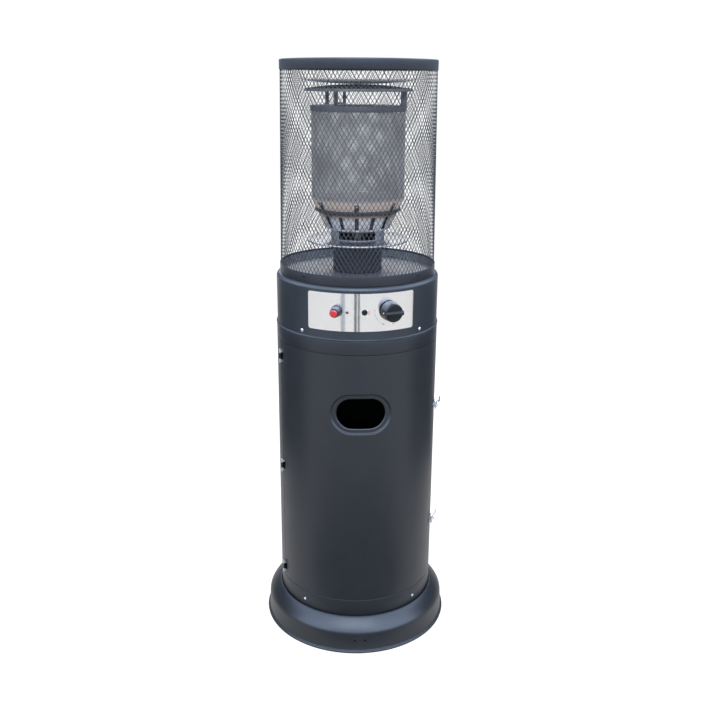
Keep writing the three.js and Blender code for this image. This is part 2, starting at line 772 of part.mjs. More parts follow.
function makeCollar() {
  const innerRadius = collarRadius - sheet;
  const shoulder = [0, 45, 90].map((turn) => [
    collarRadius - collarShoulder * (1 - Math.cos(degrees(turn))),
    collarTop - collarShoulder * (1 - Math.sin(degrees(turn))),
  ]);
  const shell = turned([
    [innerRadius, collarBottom],
    [collarBeadRadius - sheet, collarBottom],
    [collarBeadRadius, collarBottom + collarBeadHeight / 4],
    [collarBeadRadius, collarBottom + 3 * collarBeadHeight / 4],
    [collarRadius, collarBottom + 1.3 * collarBeadHeight],
    ...shoulder,
    [ledgeRadius, collarTop],
    [ledgeRadius, collarTop - sheet],
    [collarRadius - collarShoulder, collarTop - sheet],
    [innerRadius, collarTop - collarShoulder],
  ]);
  place('collar_shell', cut(shell, ...fittingHoles()), coat);

  const panelInner = collarRadius + seatGap;
  const panelWall = arcWall(panelInner, panelInner + panelSheet, -panelHalfAngle, panelHalfAngle,
    panelBottom, panelTop);
  const edge = (collarRadius + panelSheet) * Math.sin(degrees(panelHalfAngle));
  const face = frontCut(2 * edge, panelTop - panelBottom, panelCorner * Math.cos(degrees(panelHalfAngle)),
    panelCorner, (panelTop + panelBottom) / 2, -collarRadius - 2 * overrun, 0);
  place('control_panel', cut(overlap(panelWall, face), ...fittingHoles()), stainless);
}

const panelFace = seatGap + panelSheet;

function makeKnob() {
  const knob = station(knobAngle, collarRadius, controlHeight);
  const near = panelFace + knobStandOff;
  const far = near + knobDepth;
  const body = turnedOut([
    [0, near],
    [knobRadius - sheet, near],
    [knobRadius, near + sheet],
    [knobRadius - sheet / 2, near + knobSkirtDepth],
    [knobFaceRadius, near + knobSkirtDepth + sheet],
    [knobFaceRadius - sheet, far - knobRidgeDepth - sheet],
    [knobFaceRadius - 3 * sheet, far - knobRidgeDepth],
    [0, far - knobRidgeDepth],
  ]);
  const half = knobRidgeWidth / 2;
  const ridge = prism([
    [-half, -far + knobRidgeDepth + sheet * 2], [half, -far + knobRidgeDepth + sheet * 2],
    [half * 0.75, -far], [-half * 0.75, -far],
  ], -knobFaceRadius + sheet, knobFaceRadius - sheet).rotateY(Math.PI / 2);
  const stemTip = near + stemFrontDepth;
  const bore = bar(stemRadius + runningGap / 2, -near + overrun, -stemTip - runningGap, pinSegments);
  place('control_knob', cut(join(body, ridge), bore), blackPlastic, knob);
  place('valve_stem', bar(stemRadius, -stemTip, stemRearDepth, pinSegments), brass, knob);
  place('valve_plug', cut(bar(plugRadius, plugFront, plugRear),
    bar(stemRadius + runningGap, plugFront - overrun, plugRear + overrun, pinSegments)),
  brass, knob);

  const valveRear = valveFront + valveDepth;
  const valve = cut(join(
    block(-valveWidth / 2, valveWidth / 2, valveFront, valveRear, -valveTall / 2, valveTall / 2),
    bar(valveBossRadius, valveBossFront, valveFront + sheet)),
  bar(plugRadius + runningGap, valveBossFront - overrun, plugRear + knobTravel));
  place('gas_valve', valve, castMetal, knob);

  const bracketRear = bracketDepth + bracketSheet;
  const wallBeside = Math.sqrt((collarRadius - sheet) ** 2 - (bracketWidth / 2) ** 2);
  const legFront = collarRadius - wallBeside + 2 * seatGap;
  const bracket = cut(join(
    block(-bracketWidth / 2, bracketWidth / 2, bracketDepth, bracketRear, -bracketTall / 2, bracketTall / 2),
    ...bothSides((sign) => block(
      Math.min(sign * (bracketWidth / 2 - bracketSheet), sign * bracketWidth / 2),
      Math.max(sign * (bracketWidth / 2 - bracketSheet), sign * bracketWidth / 2),
      legFront, bracketRear, -bracketTall / 2, bracketTall / 2)),
    ...bothSides((sign) => block(-valveWidth / 4, valveWidth / 4, bracketDepth, valveFront - seatGap,
      Math.min(sign * bracketTall / 2, sign * (bracketTall / 2 - bracketSheet)),
      Math.max(sign * bracketTall / 2, sign * (bracketTall / 2 - bracketSheet))))),
  bar(valveBossRadius + seatGap, bracketDepth - overrun, bracketRear + overrun));
  place('valve_bracket', bracket, zinc, knob);

  const inletPlace = valveFront + valveDepth / 2;
  const inletTop = -valveTall / 2 - seatGap;
  const inlet = cut(join(
    post(inletHexRadius, inletTop - inletHexLength, inletTop, 6),
    post(inletRadius, inletTop - inletLength, inletTop - inletHexLength / 2, pinSegments)),
  post(inletBore, inletTop - inletLength - overrun, inletTop - inletHexLength, pinSegments));
  place('gas_inlet', inlet.translate([0, inletPlace, 0]), brass, knob);
}

function makeIgniter() {
  const igniter = station(igniterAngle, collarRadius, controlHeight);
  const near = panelFace + 2 * seatGap;
  const far = near + barrelLength;
  const pocket = far - buttonPocket;
  const body = cut(join(
    turnedOut([
      [0, near],
      [barrelRadius + sheet, near],
      [barrelRadius + sheet, near + 2 * sheet],
      [barrelRadius, near + 3 * sheet],
      [barrelFrontRadius, far - sheet],
      [barrelFrontRadius - sheet / 2, far],
      [0, far],
    ]),
    bar(igniterThreadRadius, -near - sheet, igniterRearLength)),
  bar(buttonRadius + runningGap, -pocket, -far - overrun));
  place('igniter_body', body, blackPlastic, igniter);

  const capFar = far + buttonProud;
  const capNear = pocket + buttonTravel + runningGap;
  place('igniter_button', turnedOut([
    [0, capNear],
    [buttonRadius, capNear],
    [buttonRadius, capFar - sheet],
    [buttonRadius - sheet, capFar],
    [0, capFar],
  ]), redPlastic, igniter);
}

function smallFitting(name, angle, radius, shank, material) {
  const spot = station(angle, collarRadius, smallFittingHeight);
  const near = panelFace + seatGap;
  const far = near + smallFittingProud;
  place(name, turnedOut([
    [0, -smallFittingRear],
    [shank, -smallFittingRear],
    [shank, near],
    [radius, near],
    [radius, near + smallFittingProud / 2],
    [radius * 0.8, far],
    [0, far],
  ]), material, spot);
}

function makeTiltSwitch() {
  const spot = station(tiltAngle, collarRadius, controlHeight);
  place('tilt_switch', block(-tiltWidth / 2, tiltWidth / 2, tiltInset, tiltInset + tiltDepth,
    -tiltTall / 2, tiltTall / 2), blackPlastic, spot);
}

function makeGuard() {
  const bandFoot = collarTop + seatGap;
  place('guard_lower_band', turned([
    [guardBandRadius, bandFoot],
    [guardBandRadius, guardBandTop],
    [guardBandRadius - sheet, guardBandTop],
    [guardBandRadius - sheet, bandFoot],
  ]), coat);

  const deckUnder = collarTop + seatGap;
  place('top_deck', turned([
    [deckHoleRadius, deckUnder],
    [deckRimRadius, deckUnder],
    [deckRimRadius, deckRimTop],
    [deckRimRadius - thinSheet, deckRimTop],
    [deckRimRadius - thinSheet, deckFloor],
    [deckHoleRadius, deckFloor],
  ]), dullSteel);

  const skirt = overallHeight - coverRimTop;
  place('guard_top_cover', turned([
    [0, overallHeight],
    [coverRadius * 0.6, overallHeight - 0.2 * skirt],
    [coverRadius - 2 * sheet, coverRimTop],
    [coverRadius, coverRimTop - 2 * sheet],
    [coverRadius, coverSkirtBottom],
    [coverRadius - sheet, coverSkirtBottom],
    [coverRadius - sheet, coverRimTop - 2 * sheet],
    [coverRadius - 3 * sheet, coverRimTop - sheet],
    [coverRadius * 0.6, overallHeight - 0.2 * skirt - sheet],
    [0, overallHeight - sheet],
  ]), coat);

  const meshTop = coverRimTop - 3 * sheet - seatGap;
  place('guard_mesh_front', guardMesh(0, bandFoot, meshTop), blackCoat);
  place('guard_mesh_back', guardMesh(180, bandFoot, meshTop), blackCoat);
}

// Half a tapering tube of expanded metal. A strand is three-sided: flat outside, with a ridge
// inside. Grid points lie half a diamond apart, and each diamond is a ring around its opening.
function guardMesh(middleAngle, bottom, top) {
  const across = 2 * meshColumns;
  const up = 2 * meshRows;
  const span = 180 - THREE.MathUtils.radToDeg(meshSeam / guardTopRadius);
  const corners = [];
  const faces = [];
  const point = (i, j, inward) => {
    const share = j / up;
    const angle = middleAngle + (i / across - 0.5) * span;
    const radius = guardBottomRadius + (guardTopRadius - guardBottomRadius) * share - inward;
    const [x, y] = polar(angle, radius);
    return corners.push([x, y, bottom + (top - bottom) * share]) - 1;
  };
  const atEdge = ([i, j], [k, l]) => (i === k && i % across === 0) || (j === l && j % up === 0);
  const quad = (a, b, c, d) => faces.push(a, b, c, a, c, d);
  const ring = (grid, share) => {
    const middle = [0, 1].map((axis) => grid.reduce((sum, spot) => sum + spot[axis], 0) / grid.length);
    const openings = grid.map((spot) => spot.map((value, axis) =>
      middle[axis] + (value - middle[axis]) * share));
    const rim = grid.map(([i, j]) => point(i, j, 0));
    const ridge = grid.map(([i, j]) => point(i, j, meshThick));
    const hole = openings.map(([i, j]) => point(i, j, 0));
    grid.forEach((spot, k) => {
      const n = (k + 1) % grid.length;
      quad(rim[k], rim[n], hole[n], hole[k]);
      quad(hole[k], hole[n], ridge[n], ridge[k]);
      if (atEdge(spot, grid[n])) quad(rim[n], rim[k], ridge[k], ridge[n]);
    });
  };
  for (let i = 0; i <= across; i += 1) {
    for (let j = 0; j <= up; j += 1) {
      if ((i + j) % 2 === 1) {
        const around = [[i + 1, j], [i, j + 1], [i - 1, j], [i, j - 1]];
        const inside = i > 0 && i < across && j > 0 && j < up;
        const within = around.map(([k, l]) => [
          THREE.MathUtils.clamp(k, 0, across),
          THREE.MathUtils.clamp(l, 0, up),
        ]);
        ring(within, inside ? meshOpenShare : meshEdgeOpenShare);
      }
    }
  }
  const geometry = new THREE.BufferGeometry();
  geometry.setAttribute('position', new THREE.Float32BufferAttribute(corners.flat(), 3));
  geometry.setIndex(faces);
  return geometry;
}

function makeBurner() {
  const drumFoot = deckFloor + seatGap;
  const drumInner = drumRadius - drumSheet;
  const lip = drumInner - 4 * drumSheet;
  place('burner_drum', turned([
    [lip, drumFoot],
    [drumRadius, drumFoot],
    [drumRadius, drumTop],
    [lip, drumTop],
    [lip, drumTop - drumSheet],
    [drumInner, drumTop - drumSheet],
    [drumInner, drumFoot + drumSheet],
    [lip, drumFoot + drumSheet],
  ], burnerSegments), blackCoat);

  const shieldUnder = drumTop + seatGap;
  const shieldTop = shieldUnder + shieldSheet;
  place('heat_shield', turned([
    [lip, shieldUnder],
    [shieldRadius - shieldSheet, shieldUnder],
    [shieldRadius - shieldSheet, shieldUnder - shieldRim],
    [shieldRadius, shieldUnder - shieldRim],
    [shieldRadius, shieldTop],
    [lip, shieldTop],
  ], burnerSegments), stainless);

  const baseUnder = shieldTop + seatGap;
  const baseInner = burnerBaseRadius - thinSheet;
  const lineHoles = (height) => [-lineSpread, 0, lineSpread].map((angle) => {
    const [x, y] = polar(angle, lineRadius);
    return post(lineHole, height - overrun, height + 2 * overrun, pinSegments).translate(x, y, 0);
  });
  const opening = arcWall(burnerBaseRadius / 2, burnerBaseRadius + overrun,
    burnerTurn - windowHalfAngle, burnerTurn + windowHalfAngle,
    baseUnder + windowRise, baseUnder + windowRise + windowTall);
  const venturiHole = venturiRadius + seatGap;
  place('burner_base', cut(turned([
    [venturiHole, baseUnder],
    [burnerBaseRadius, baseUnder],
    [burnerBaseRadius, burnerBaseTop],
    [baseInner, burnerBaseTop],
    [baseInner, baseUnder + thinSheet],
    [venturiHole, baseUnder + thinSheet],
  ], burnerSegments), opening, ...lineHoles(baseUnder)), stainless);

  const coneFoot = burnerBaseTop + seatGap;
  const floorEdge = lineRadius - 4 * lineHole;
  const slant = thinSheet * 1.4;
  const cone = turned([
    [floorEdge, coneFoot],
    [coneBottomRadius, coneFoot],
    [coneTopRadius, coneTop],
    [coneTopRadius - slant, coneTop],
    [coneBottomRadius - thinSheet / 2, coneFoot + thinSheet],
    [floorEdge, coneFoot + thinSheet],
  ], burnerSegments);
  const rise = coneTop - coneFoot;
  const slots = Array.from({ length: coneSlots }, (_, i) => atStation(
    block(-slotWidth / 2, slotWidth / 2, -coneTopRadius, -coneBottomRadius / 2,
      slotBottomShare * rise, slotTopShare * rise),
    burnerTurn + 360 * i / coneSlots, 0, coneFoot));

  // A plain liner inside the slotted wall hangs from the rim and shields the flame.
  const linerBottom = coneBottomRadius - linerGap;
  const linerTop = coneTopRadius - linerGap;
  const liner = turned([
    [linerBottom, coneFoot + thinSheet / 2],
    [linerTop, coneTop - thinSheet],
    [coneTopRadius - slant / 2, coneTop - thinSheet],
    [coneTopRadius - slant / 2, coneTop],
    [linerTop - slant, coneTop],
    [linerBottom - slant, coneFoot + thinSheet / 2],
  ], burnerSegments);
  place('burner_cone', cut(join(cut(cone, ...slots), liner), ...lineHoles(coneFoot)), stainless);

  const headFoot = coneFoot + thinSheet + seatGap;
  place('burner_head', turned([
    [venturiHole, headFoot],
    [headRadius, headFoot],
    [headRadius, headFoot + headHeight],
    [0, headFoot + headHeight],
    [0, headFoot + headHeight - thinSheet],
    [headRadius - thinSheet, headFoot + headHeight - thinSheet],
    [headRadius - thinSheet, headFoot + thinSheet],
    [venturiHole, headFoot + thinSheet],
  ].reverse(), smallSegments), dullSteel);

  const collarSeat = baseUnder + thinSheet + seatGap;
  const venturiTop = headFoot + thinSheet;
  place('venturi_tube', turned([
    [venturiRadius, venturiBottom],
    [venturiThroat, venturiBottom + venturiRadius],
    [venturiRadius - drumSheet, venturiTop],
    [venturiRadius, venturiTop],
    [venturiRadius, collarSeat + drumSheet],
    [venturiRadius + 3 * drumSheet, collarSeat + drumSheet],
    [venturiRadius + 3 * drumSheet, collarSeat],
    [venturiRadius, collarSeat],
    [venturiThroat + drumSheet, venturiBottom + venturiRadius],
    [venturiRadius + drumSheet, venturiBottom],
  ], smallSegments), castMetal);

  place('gas_jet', turned([
    [0, jetBottom],
    [jetRadius, jetBottom],
    [jetRadius, jetTop - jetRadius],
    [jetRadius / 2, jetTop],
    [0, jetTop],
  ], 12), brass);
}

function makeEmitter() {
  const ringFoot = coneTop + seatGap;
  const ringTop = ringFoot + emitterRingHeight;
  const ringOuter = emitterFootRadius + 2 * thinSheet;
  const ring = turned([
    [coneTopRadius - 3 * thinSheet, ringFoot],
    [ringOuter, ringFoot],
    [ringOuter, ringTop],
    [emitterFootRadius + seatGap, ringTop],
    [emitterFootRadius + seatGap, ringFoot + thinSheet],
    [coneTopRadius - 3 * thinSheet, ringFoot + thinSheet],
  ], burnerSegments);

  // The tabs are strips of one sheet that flares along with the screen's foot.
  const tabInner = emitterFootRadius + 2 * seatGap;
  const tabLean = (emitterRadius - emitterFootRadius) * ringTabRise / emitterTaper;
  const flare = turned([
    [tabInner, ringFoot + thinSheet],
    [tabInner + thinSheet, ringFoot + thinSheet],
    [tabInner + thinSheet, ringTop],
    [tabInner + thinSheet + tabLean, ringTop + ringTabRise],
    [tabInner + tabLean, ringTop + ringTabRise],
    [tabInner, ringTop],
  ], burnerSegments);
  const tabs = Array.from({ length: ringTabs }, (_, i) => overlap(flare, atStation(
    block(-ringTabWidth / 2, ringTabWidth / 2, -2 * emitterRadius, -emitterRadius / 2,
      ringFoot, ringTop + 2 * ringTabRise),
    burnerTurn + 360 * i / ringTabs, 0, 0)));
  place('emitter_ring', join(ring, ...tabs), blackCoat);

  const screenFoot = ringFoot + thinSheet + seatGap;
  const taperTop = ringTop + emitterTaper;
  place('emitter_screen', turned([
    [emitterFootRadius, screenFoot],
    [emitterFootRadius, ringTop],
    [emitterRadius, taperTop],
    [emitterRadius, emitterTop],
    [emitterRadius - thinSheet, emitterTop],
    [emitterRadius - thinSheet, taperTop],
    [emitterFootRadius - thinSheet, ringTop],
    [emitterFootRadius - thinSheet, screenFoot],
  ], burnerSegments), dullSteel);

  const capTop = emitterTop + seatGap + thinSheet;
  const capOuter = emitterRadius + 2 * thinSheet;
  place('emitter_cap', turned([
    [0, capTop],
    [capOuter, capTop],
    [capOuter, emitterTop - capRim],
    [emitterRadius + seatGap, emitterTop - capRim],
    [emitterRadius + seatGap, emitterTop + seatGap],
    [0, emitterTop + seatGap],
  ], burnerSegments), dullSteel);

  const supportFoot = capTop + seatGap;
  supportAngles.forEach((angle, i) => {
    const spot = station(angle, supportRadius, 0);
    const [web, flange] = [supportWeb / 2, supportFlange];
    const channel = prism([
      [-web, 0], [-web, flange], [-web + thinSheet, flange], [-web + thinSheet, thinSheet],
      [web - thinSheet, thinSheet], [web - thinSheet, flange], [web, flange], [web, 0],
    ].map(([x, y]) => [x, y - flange / 2]), supportFoot, supportTop);
    const opening = block(supportEdge - web, web - supportEdge, -flange, 0,
      supportFoot + supportEdge, supportTop - supportEdge);
    place(`reflector_support_${i + 1}`, cut(channel, opening), stainless, spot);
  });
}

function makeReflectors() {
  const seat = supportTop + seatGap;
  const flat = lowerApex - seat - thinSheet;
  place('lower_reflector', turned([
    [reflectorStud + seatGap, lowerApex],
    [0.4 * lowerRimRadius, lowerApex - 0.16 * flat],
    [0.65 * lowerRimRadius, lowerApex - 0.45 * flat],
    [0.85 * lowerRimRadius, seat + thinSheet],
    [lowerRimRadius - 2 * thinSheet, seat + thinSheet],
    [lowerRimRadius, seat],
    [lowerRimRadius, lowerRimBottom],
    [lowerRimRadius - thinSheet, lowerRimBottom],
    [lowerRimRadius - 2 * thinSheet, seat],
    [0.85 * lowerRimRadius, seat],
    [0.65 * lowerRimRadius, lowerApex - 0.45 * flat - thinSheet],
    [0.4 * lowerRimRadius, lowerApex - 0.16 * flat - thinSheet],
    [reflectorStud + seatGap, lowerApex - thinSheet],
  ], burnerSegments), stainless);

  const dishFoot = lowerApex + seatGap;
  const dishRise = upperRimTop - dishFoot - thinSheet;
  place('upper_reflector', turned([
    [reflectorStud + seatGap, dishFoot],
    [0.4 * upperRimRadius, dishFoot + 0.15 * dishRise],
    [0.8 * upperRimRadius, dishFoot + 0.6 * dishRise],
    [upperRimRadius, dishFoot + dishRise],
    [upperRimRadius, upperRimTop],
    [0.8 * upperRimRadius, dishFoot + 0.6 * dishRise + thinSheet],
    [0.4 * upperRimRadius, dishFoot + 0.15 * dishRise + thinSheet],
    [reflectorStud + seatGap, dishFoot + thinSheet],
  ], burnerSegments), stainless);

  const nutFoot = dishFoot + thinSheet + seatGap;
  place('reflector_bolt', turned([
    [0, lowerApex - thinSheet - seatGap - reflectorStud],
    [reflectorNutRadius, lowerApex - thinSheet - seatGap - reflectorStud],
    [reflectorNutRadius, lowerApex - thinSheet - seatGap],
    [reflectorStud, lowerApex - thinSheet - seatGap],
    [reflectorStud, nutFoot],
    [reflectorNutRadius, nutFoot],
    [reflectorNutRadius, nutFoot + reflectorNutHeight / 2],
    [reflectorNutRadius / 2, nutFoot + reflectorNutHeight],
    [0, nutFoot + reflectorNutHeight],
  ], pinSegments), zinc);
}

// The pilot stands on a plate in the cone. Its tube, the thermocouple's lead and the igniter's
// lead rise side by side through the burner base, and bend outward under the deck.
function makePilot() {
  const plateSheet = bracketSheet;
  const spots = [-lineSpread, 0, lineSpread].map((angle) => polar(angle, lineRadius));
  const hole = ([x, y]) => post(lineHole, pilotPlateHeight - overrun, pilotPlateHeight + 2 * overrun,
    pinSegments).translate(x, y, 0);
  const [, hoodY] = spots[1];
  place('pilot_burner', cut(join(
    block(-pilotPlateHalfWidth, pilotPlateHalfWidth,
      -lineRadius - pilotPlateReach, -lineRadius + 2 * lineHole,
      pilotPlateHeight, pilotPlateHeight + plateSheet),
    post(pilotHoodRadius, pilotPlateHeight, pilotHoodTop, pinSegments).translate(0, hoodY, 0)),
  hole(spots[0]), hole(spots[2]),
  block(-pilotHoodRadius / 3, pilotHoodRadius / 3, hoodY - 2 * pilotHoodRadius, hoodY,
    (pilotPlateHeight + pilotHoodTop) / 2, pilotHoodTop + overrun)), zinc);

  const valveBack = collarRadius - valveFront - valveDepth - seatGap;
  const route = (startAngle, startRadius, aside, height, endAngle, endHeight) => {
    const [sx, sy] = polar(startAngle, startRadius);
    const [tx, ty] = polar(startAngle + 90, aside);
    const [mx, my] = polar(startAngle, (startRadius + lineRadius) / 2 + lineRadius / 6);
    const [ex, ey] = polar(endAngle, lineRadius);
    const bend = (lineBend + height) / 2;
    return [
      [sx + tx, sy + ty, height],
      [mx + tx, my + ty, height],
      [(mx + tx + 2 * ex) / 3, (my + ty + 2 * ey) / 3, bend],
      [ex, ey, lineBend],
      [ex, ey, (lineBend + endHeight) / 2],
      [ex, ey, endHeight],
    ];
  };
  const aside = valveWidth / 4;
  const high = controlHeight + tubeRise;
  place('pilot_gas_tube', pipe(route(knobAngle, valveBack, -aside, high, 0, pilotPlateHeight - seatGap),
    pilotTubeRadius), copper);
  place('thermocouple', pipe(route(knobAngle, valveBack, aside, high, lineSpread, thermocoupleTop),
    leadRadius), copper);
  const igniterBack = collarRadius - igniterRearLength - seatGap;
  place('ignition_lead', pipe(route(igniterAngle, igniterBack, 0, controlHeight,
    -lineSpread, electrodeBottom - seatGap), leadRadius), blackPlastic);

  const [px, py] = spots[0];
  place('spark_electrode', join(
    post(electrodeRadius, electrodeBottom, electrodeTop, pinSegments),
    post(electrodeTipRadius, electrodeTop - sheet, electrodeTipTop, pinSegments),
  ).translate([px, py, 0]), ceramic);

  const low = controlHeight - tubeDrop;
  const [sx, sy] = polar(knobAngle, valveBack);
  place('main_gas_tube', pipe([
    [sx, sy, low],
    [0.7 * sx, 0.7 * sy, low],
    [0.2 * sx, 0.2 * sy, low + mainTubeRadius],
    [0, 0, low + 6 * mainTubeRadius],
    [0, 0, (low + jetBottom) / 2 + 3 * mainTubeRadius],
    [0, 0, jetBottom - seatGap],
  ], mainTubeRadius), copper);
}

makeBase();
makeRings();
makeBody();
makeHinges();
makeLatches();
makeCollar();
makeKnob();
makeIgniter();
smallFitting('sight_port', sightAngle, sightRadius, sightShankRadius, blackPlastic);
smallFitting('indicator_lens', indicatorAngle, indicatorRadius, indicatorShankRadius, redLens);
makeTiltSwitch();
makeGuard();
makeBurner();
makeEmitter();
makeReflectors();
makePilot();

export default heater;
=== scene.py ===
import json
from functools import cache
from math import asin, copysign, cos, degrees, hypot, pi, radians, sin, sqrt, tan

import bmesh
import bpy
from mathutils import Matrix, Vector


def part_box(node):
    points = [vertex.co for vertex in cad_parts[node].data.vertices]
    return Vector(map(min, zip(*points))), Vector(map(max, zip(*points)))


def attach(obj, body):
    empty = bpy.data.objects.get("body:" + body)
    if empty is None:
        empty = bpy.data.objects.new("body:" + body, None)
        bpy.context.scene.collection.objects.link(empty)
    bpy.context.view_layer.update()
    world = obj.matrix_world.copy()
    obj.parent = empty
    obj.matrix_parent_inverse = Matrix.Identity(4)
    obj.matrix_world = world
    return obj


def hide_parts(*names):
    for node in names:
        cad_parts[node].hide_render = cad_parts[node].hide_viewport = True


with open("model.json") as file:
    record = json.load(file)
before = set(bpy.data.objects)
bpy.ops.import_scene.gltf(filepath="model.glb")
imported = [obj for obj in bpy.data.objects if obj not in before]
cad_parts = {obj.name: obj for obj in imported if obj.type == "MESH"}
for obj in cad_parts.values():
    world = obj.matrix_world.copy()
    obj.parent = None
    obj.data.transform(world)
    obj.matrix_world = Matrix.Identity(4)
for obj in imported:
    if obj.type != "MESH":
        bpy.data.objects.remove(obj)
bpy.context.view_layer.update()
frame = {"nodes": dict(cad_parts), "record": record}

MM = 0.001
SHEET = 1.0 * MM
THIN_SHEET = 0.9 * MM
ROUND_SEGMENTS = 160
BURNER_SEGMENTS = 120
SMALL_SEGMENTS = 40
SLOTS = {row["node"]: row["material_slot"] for row in frame["record"]["subparts"]}
BODIES = {node: body for body, nodes in frame["record"]["behaviour"]["bodies"].items() for node in nodes}


def low(node):
    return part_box(node)[0]


def high(node):
    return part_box(node)[1]


def extent(node):
    """The outer radius, the foot and the top of a piece around the heater's axis."""
    return high(node).y, low(node).z, high(node).z


def polar(angle, radius):
    """A point at an angle, counted from the front towards +X, and a radius."""
    return radius * sin(radians(angle)), -radius * cos(radians(angle))


def steps(start, end, count):
    return [start + (end - start) * i / count for i in range(count + 1)]


# Sizes that several pieces share
body_radius = high("lower_ring").y
_, door_foot, door_head = extent("door_panel")
bead_radius, collar_bottom, collar_top = extent("collar_shell")
band_radius, band_foot, band_top = extent("guard_lower_band")

COLLAR_RADIUS = 190.0 * MM
PANEL_GAP = 0.3 * MM


# Nodes of the materials


def feed(socket, value):
    """Links a socket to its source, or gives it a plain value."""
    if isinstance(value, bpy.types.NodeSocket):
        socket.id_data.links.new(value, socket)
    elif socket.type == "RGBA":
        socket.default_value = (*value, 1)
    else:
        socket.default_value = value


def tune(thing, **settings):
    for name, value in settings.items():
        setattr(thing, name, value)
    return thing


def fill(node, **values):
    """Feeds a node's sockets by name, with _ for a space."""
    for name, value in values.items():
        feed(node.inputs[name.replace("_", " ")], value)
    return node


def add(tree, kind, *sources, **values):
    """A new node, whose sockets the sources feed in order.

    Values with a capital letter feed sockets by name, and the others are the node's settings.
    """
    settings = {name: values.pop(name) for name in list(values) if name.islower()}
    node = tune(tree.nodes.new("ShaderNode" + kind), **settings)
    for socket, source in zip(node.inputs, sources):
        feed(socket, source)
    return fill(node, **values)


WHITE = (1.0, 1.0, 1.0)
BLACK = (0.0, 0.0, 0.0)
QUARTER_TURN = 0.25
NOISE_ROUGHNESS = 0.55
GRAIN_DEPTH = 0.05 * MM
PEEL_DEPTH = 0.15 * MM
TINT_HEIGHT = 36.0 * MM


def new_material(name, **shader_values):
    material = bpy.data.materials.new(name)
    material.use_nodes = True
    tree = material.node_tree
    shader = fill(tree.nodes["Principled BSDF"], **shader_values)
    return material, shader, add(tree, "TexCoord").outputs["Object"]


def noise(place, scale, detail=3, stretch=(1, 1, 1)):
    """Noise in the piece's own metres, which stretch squeezes along an axis."""
    tree = place.id_data
    spot = add(tree, "Mapping", Vector=place, Scale=stretch).outputs["Vector"]
    texture = add(tree, "TexNoise", Vector=spot, Scale=scale, Detail=detail, Roughness=NOISE_ROUGHNESS)
    return texture.outputs["Fac"]


def ramp(source, stops):
    """A colour ramp of (place, colour) stops."""
    node = add(source.id_data, "ValToRGB", source)
    elements = node.color_ramp.elements
    while len(elements) < len(stops):
        elements.new(0.5)
    for element, (where, colour) in zip(elements, stops):
        element.position = where
        element.color = (*colour, 1)
    return node.outputs["Color"]


def spread(colour, share):
    """A darker and a lighter version of a colour."""
    return tuple(c * (1 - share) for c in colour), tuple(min(1, c * (1 + share)) for c in colour)


def mottle(source, colour, share):
    dark, light = spread(colour, share)
    return ramp(source, [(0.3, dark), (0.7, light)])


def level(source, lowest, highest, start=0.0, end=1.0):
    """Spreads what lies between start and end over lowest to highest."""
    return add(source.id_data, "MapRange", Value=source, From_Min=start, From_Max=end,
               To_Min=lowest, To_Max=highest).outputs["Result"]


def mix(tree, share, first, second, blend="MIX"):
    node = add(tree, "Mix", data_type="RGBA", blend_type=blend, Factor=share, A=first, B=second)
    return node.outputs["Result"]


def combine(operation, first, second):
    return add(first.id_data, "Math", first, second, operation=operation).outputs["Value"]


def bump(source, strength, distance):
    node = add(source.id_data, "Bump", Height=source, Strength=strength, Distance=distance)
    return node.outputs["Normal"]


def powder_coat(name, colour, roughness, peel=0.25):
    """Powder coat: a fine orange peel, faint clouds of colour, and patches that are more matt."""
    material, shader, place = new_material(name)
    clouds = mottle(noise(place, 9.0, 4), colour, 0.10)
    grains = ramp(noise(place, 1400.0, 1), [(0.35, spread(WHITE, 0.12)[0]), (0.65, WHITE)])
    matt = level(noise(place, 30.0, 5), roughness - 0.05, roughness + 0.05)
    colours = mix(place.id_data, 1.0, clouds, grains, "MULTIPLY")
    fill(shader, Base_Color=colours, Roughness=matt,
         Normal=bump(noise(place, 650.0, 2), peel, PEEL_DEPTH))
    return material


EVEN = (1.0, 1.0, 1.0)
UPRIGHT = (1.0, 1.0, 0.3)


def brushed_metal(name, colour, roughness, stretch=UPRIGHT, grain=900.0, mark=0.08, relief=0.06,
                  smear=0.0, metal=1.0):
    """Sheet metal with rolling lines: stretch is large across the lines and small along them.

    Level lines around the heater smear its reflections up and down.
    """
    material, shader, place = new_material(name, Metallic=metal)
    lines = noise(place, grain, stretch=stretch)
    fill(shader, Base_Color=mottle(noise(place, 14.0), colour, mark),
         Roughness=level(lines, roughness * 0.75, roughness * 1.35, 0.25, 0.75),
         Normal=bump(lines, relief, GRAIN_DEPTH))
    if smear:
        around = add(place.id_data, "Tangent", direction_type="RADIAL", axis="Z")
        fill(shader, Tangent=around.outputs["Tangent"], Anisotropic=smear,
             Anisotropic_Rotation=QUARTER_TURN)
    return material


def moulded(name, colour, roughness, specular=0.5, coat=0.0):
    """Moulded plastic with a very fine spark-eroded grain."""
    material, shader, place = new_material(
        name, Specular_IOR_Level=specular, Coat_Weight=coat, Coat_Roughness=0.15)
    flow = noise(place, 60.0)
    fill(shader, Base_Color=mottle(flow, colour, 0.12),
         Roughness=level(flow, roughness - 0.04, roughness + 0.05),
         Normal=bump(noise(place, 2200.0, 2), 0.12, GRAIN_DEPTH))
    return material


def wavy_height(place, clouds, foot, top, wave):
    """0 at the foot and 1 at the top, with clouds that shift it up and down."""
    parts = add(place.id_data, "SeparateXYZ", place)
    height = level(parts.outputs["Z"], 0.0, 1.0, foot, top)
    return combine("ADD", height, level(clouds, -wave, wave))


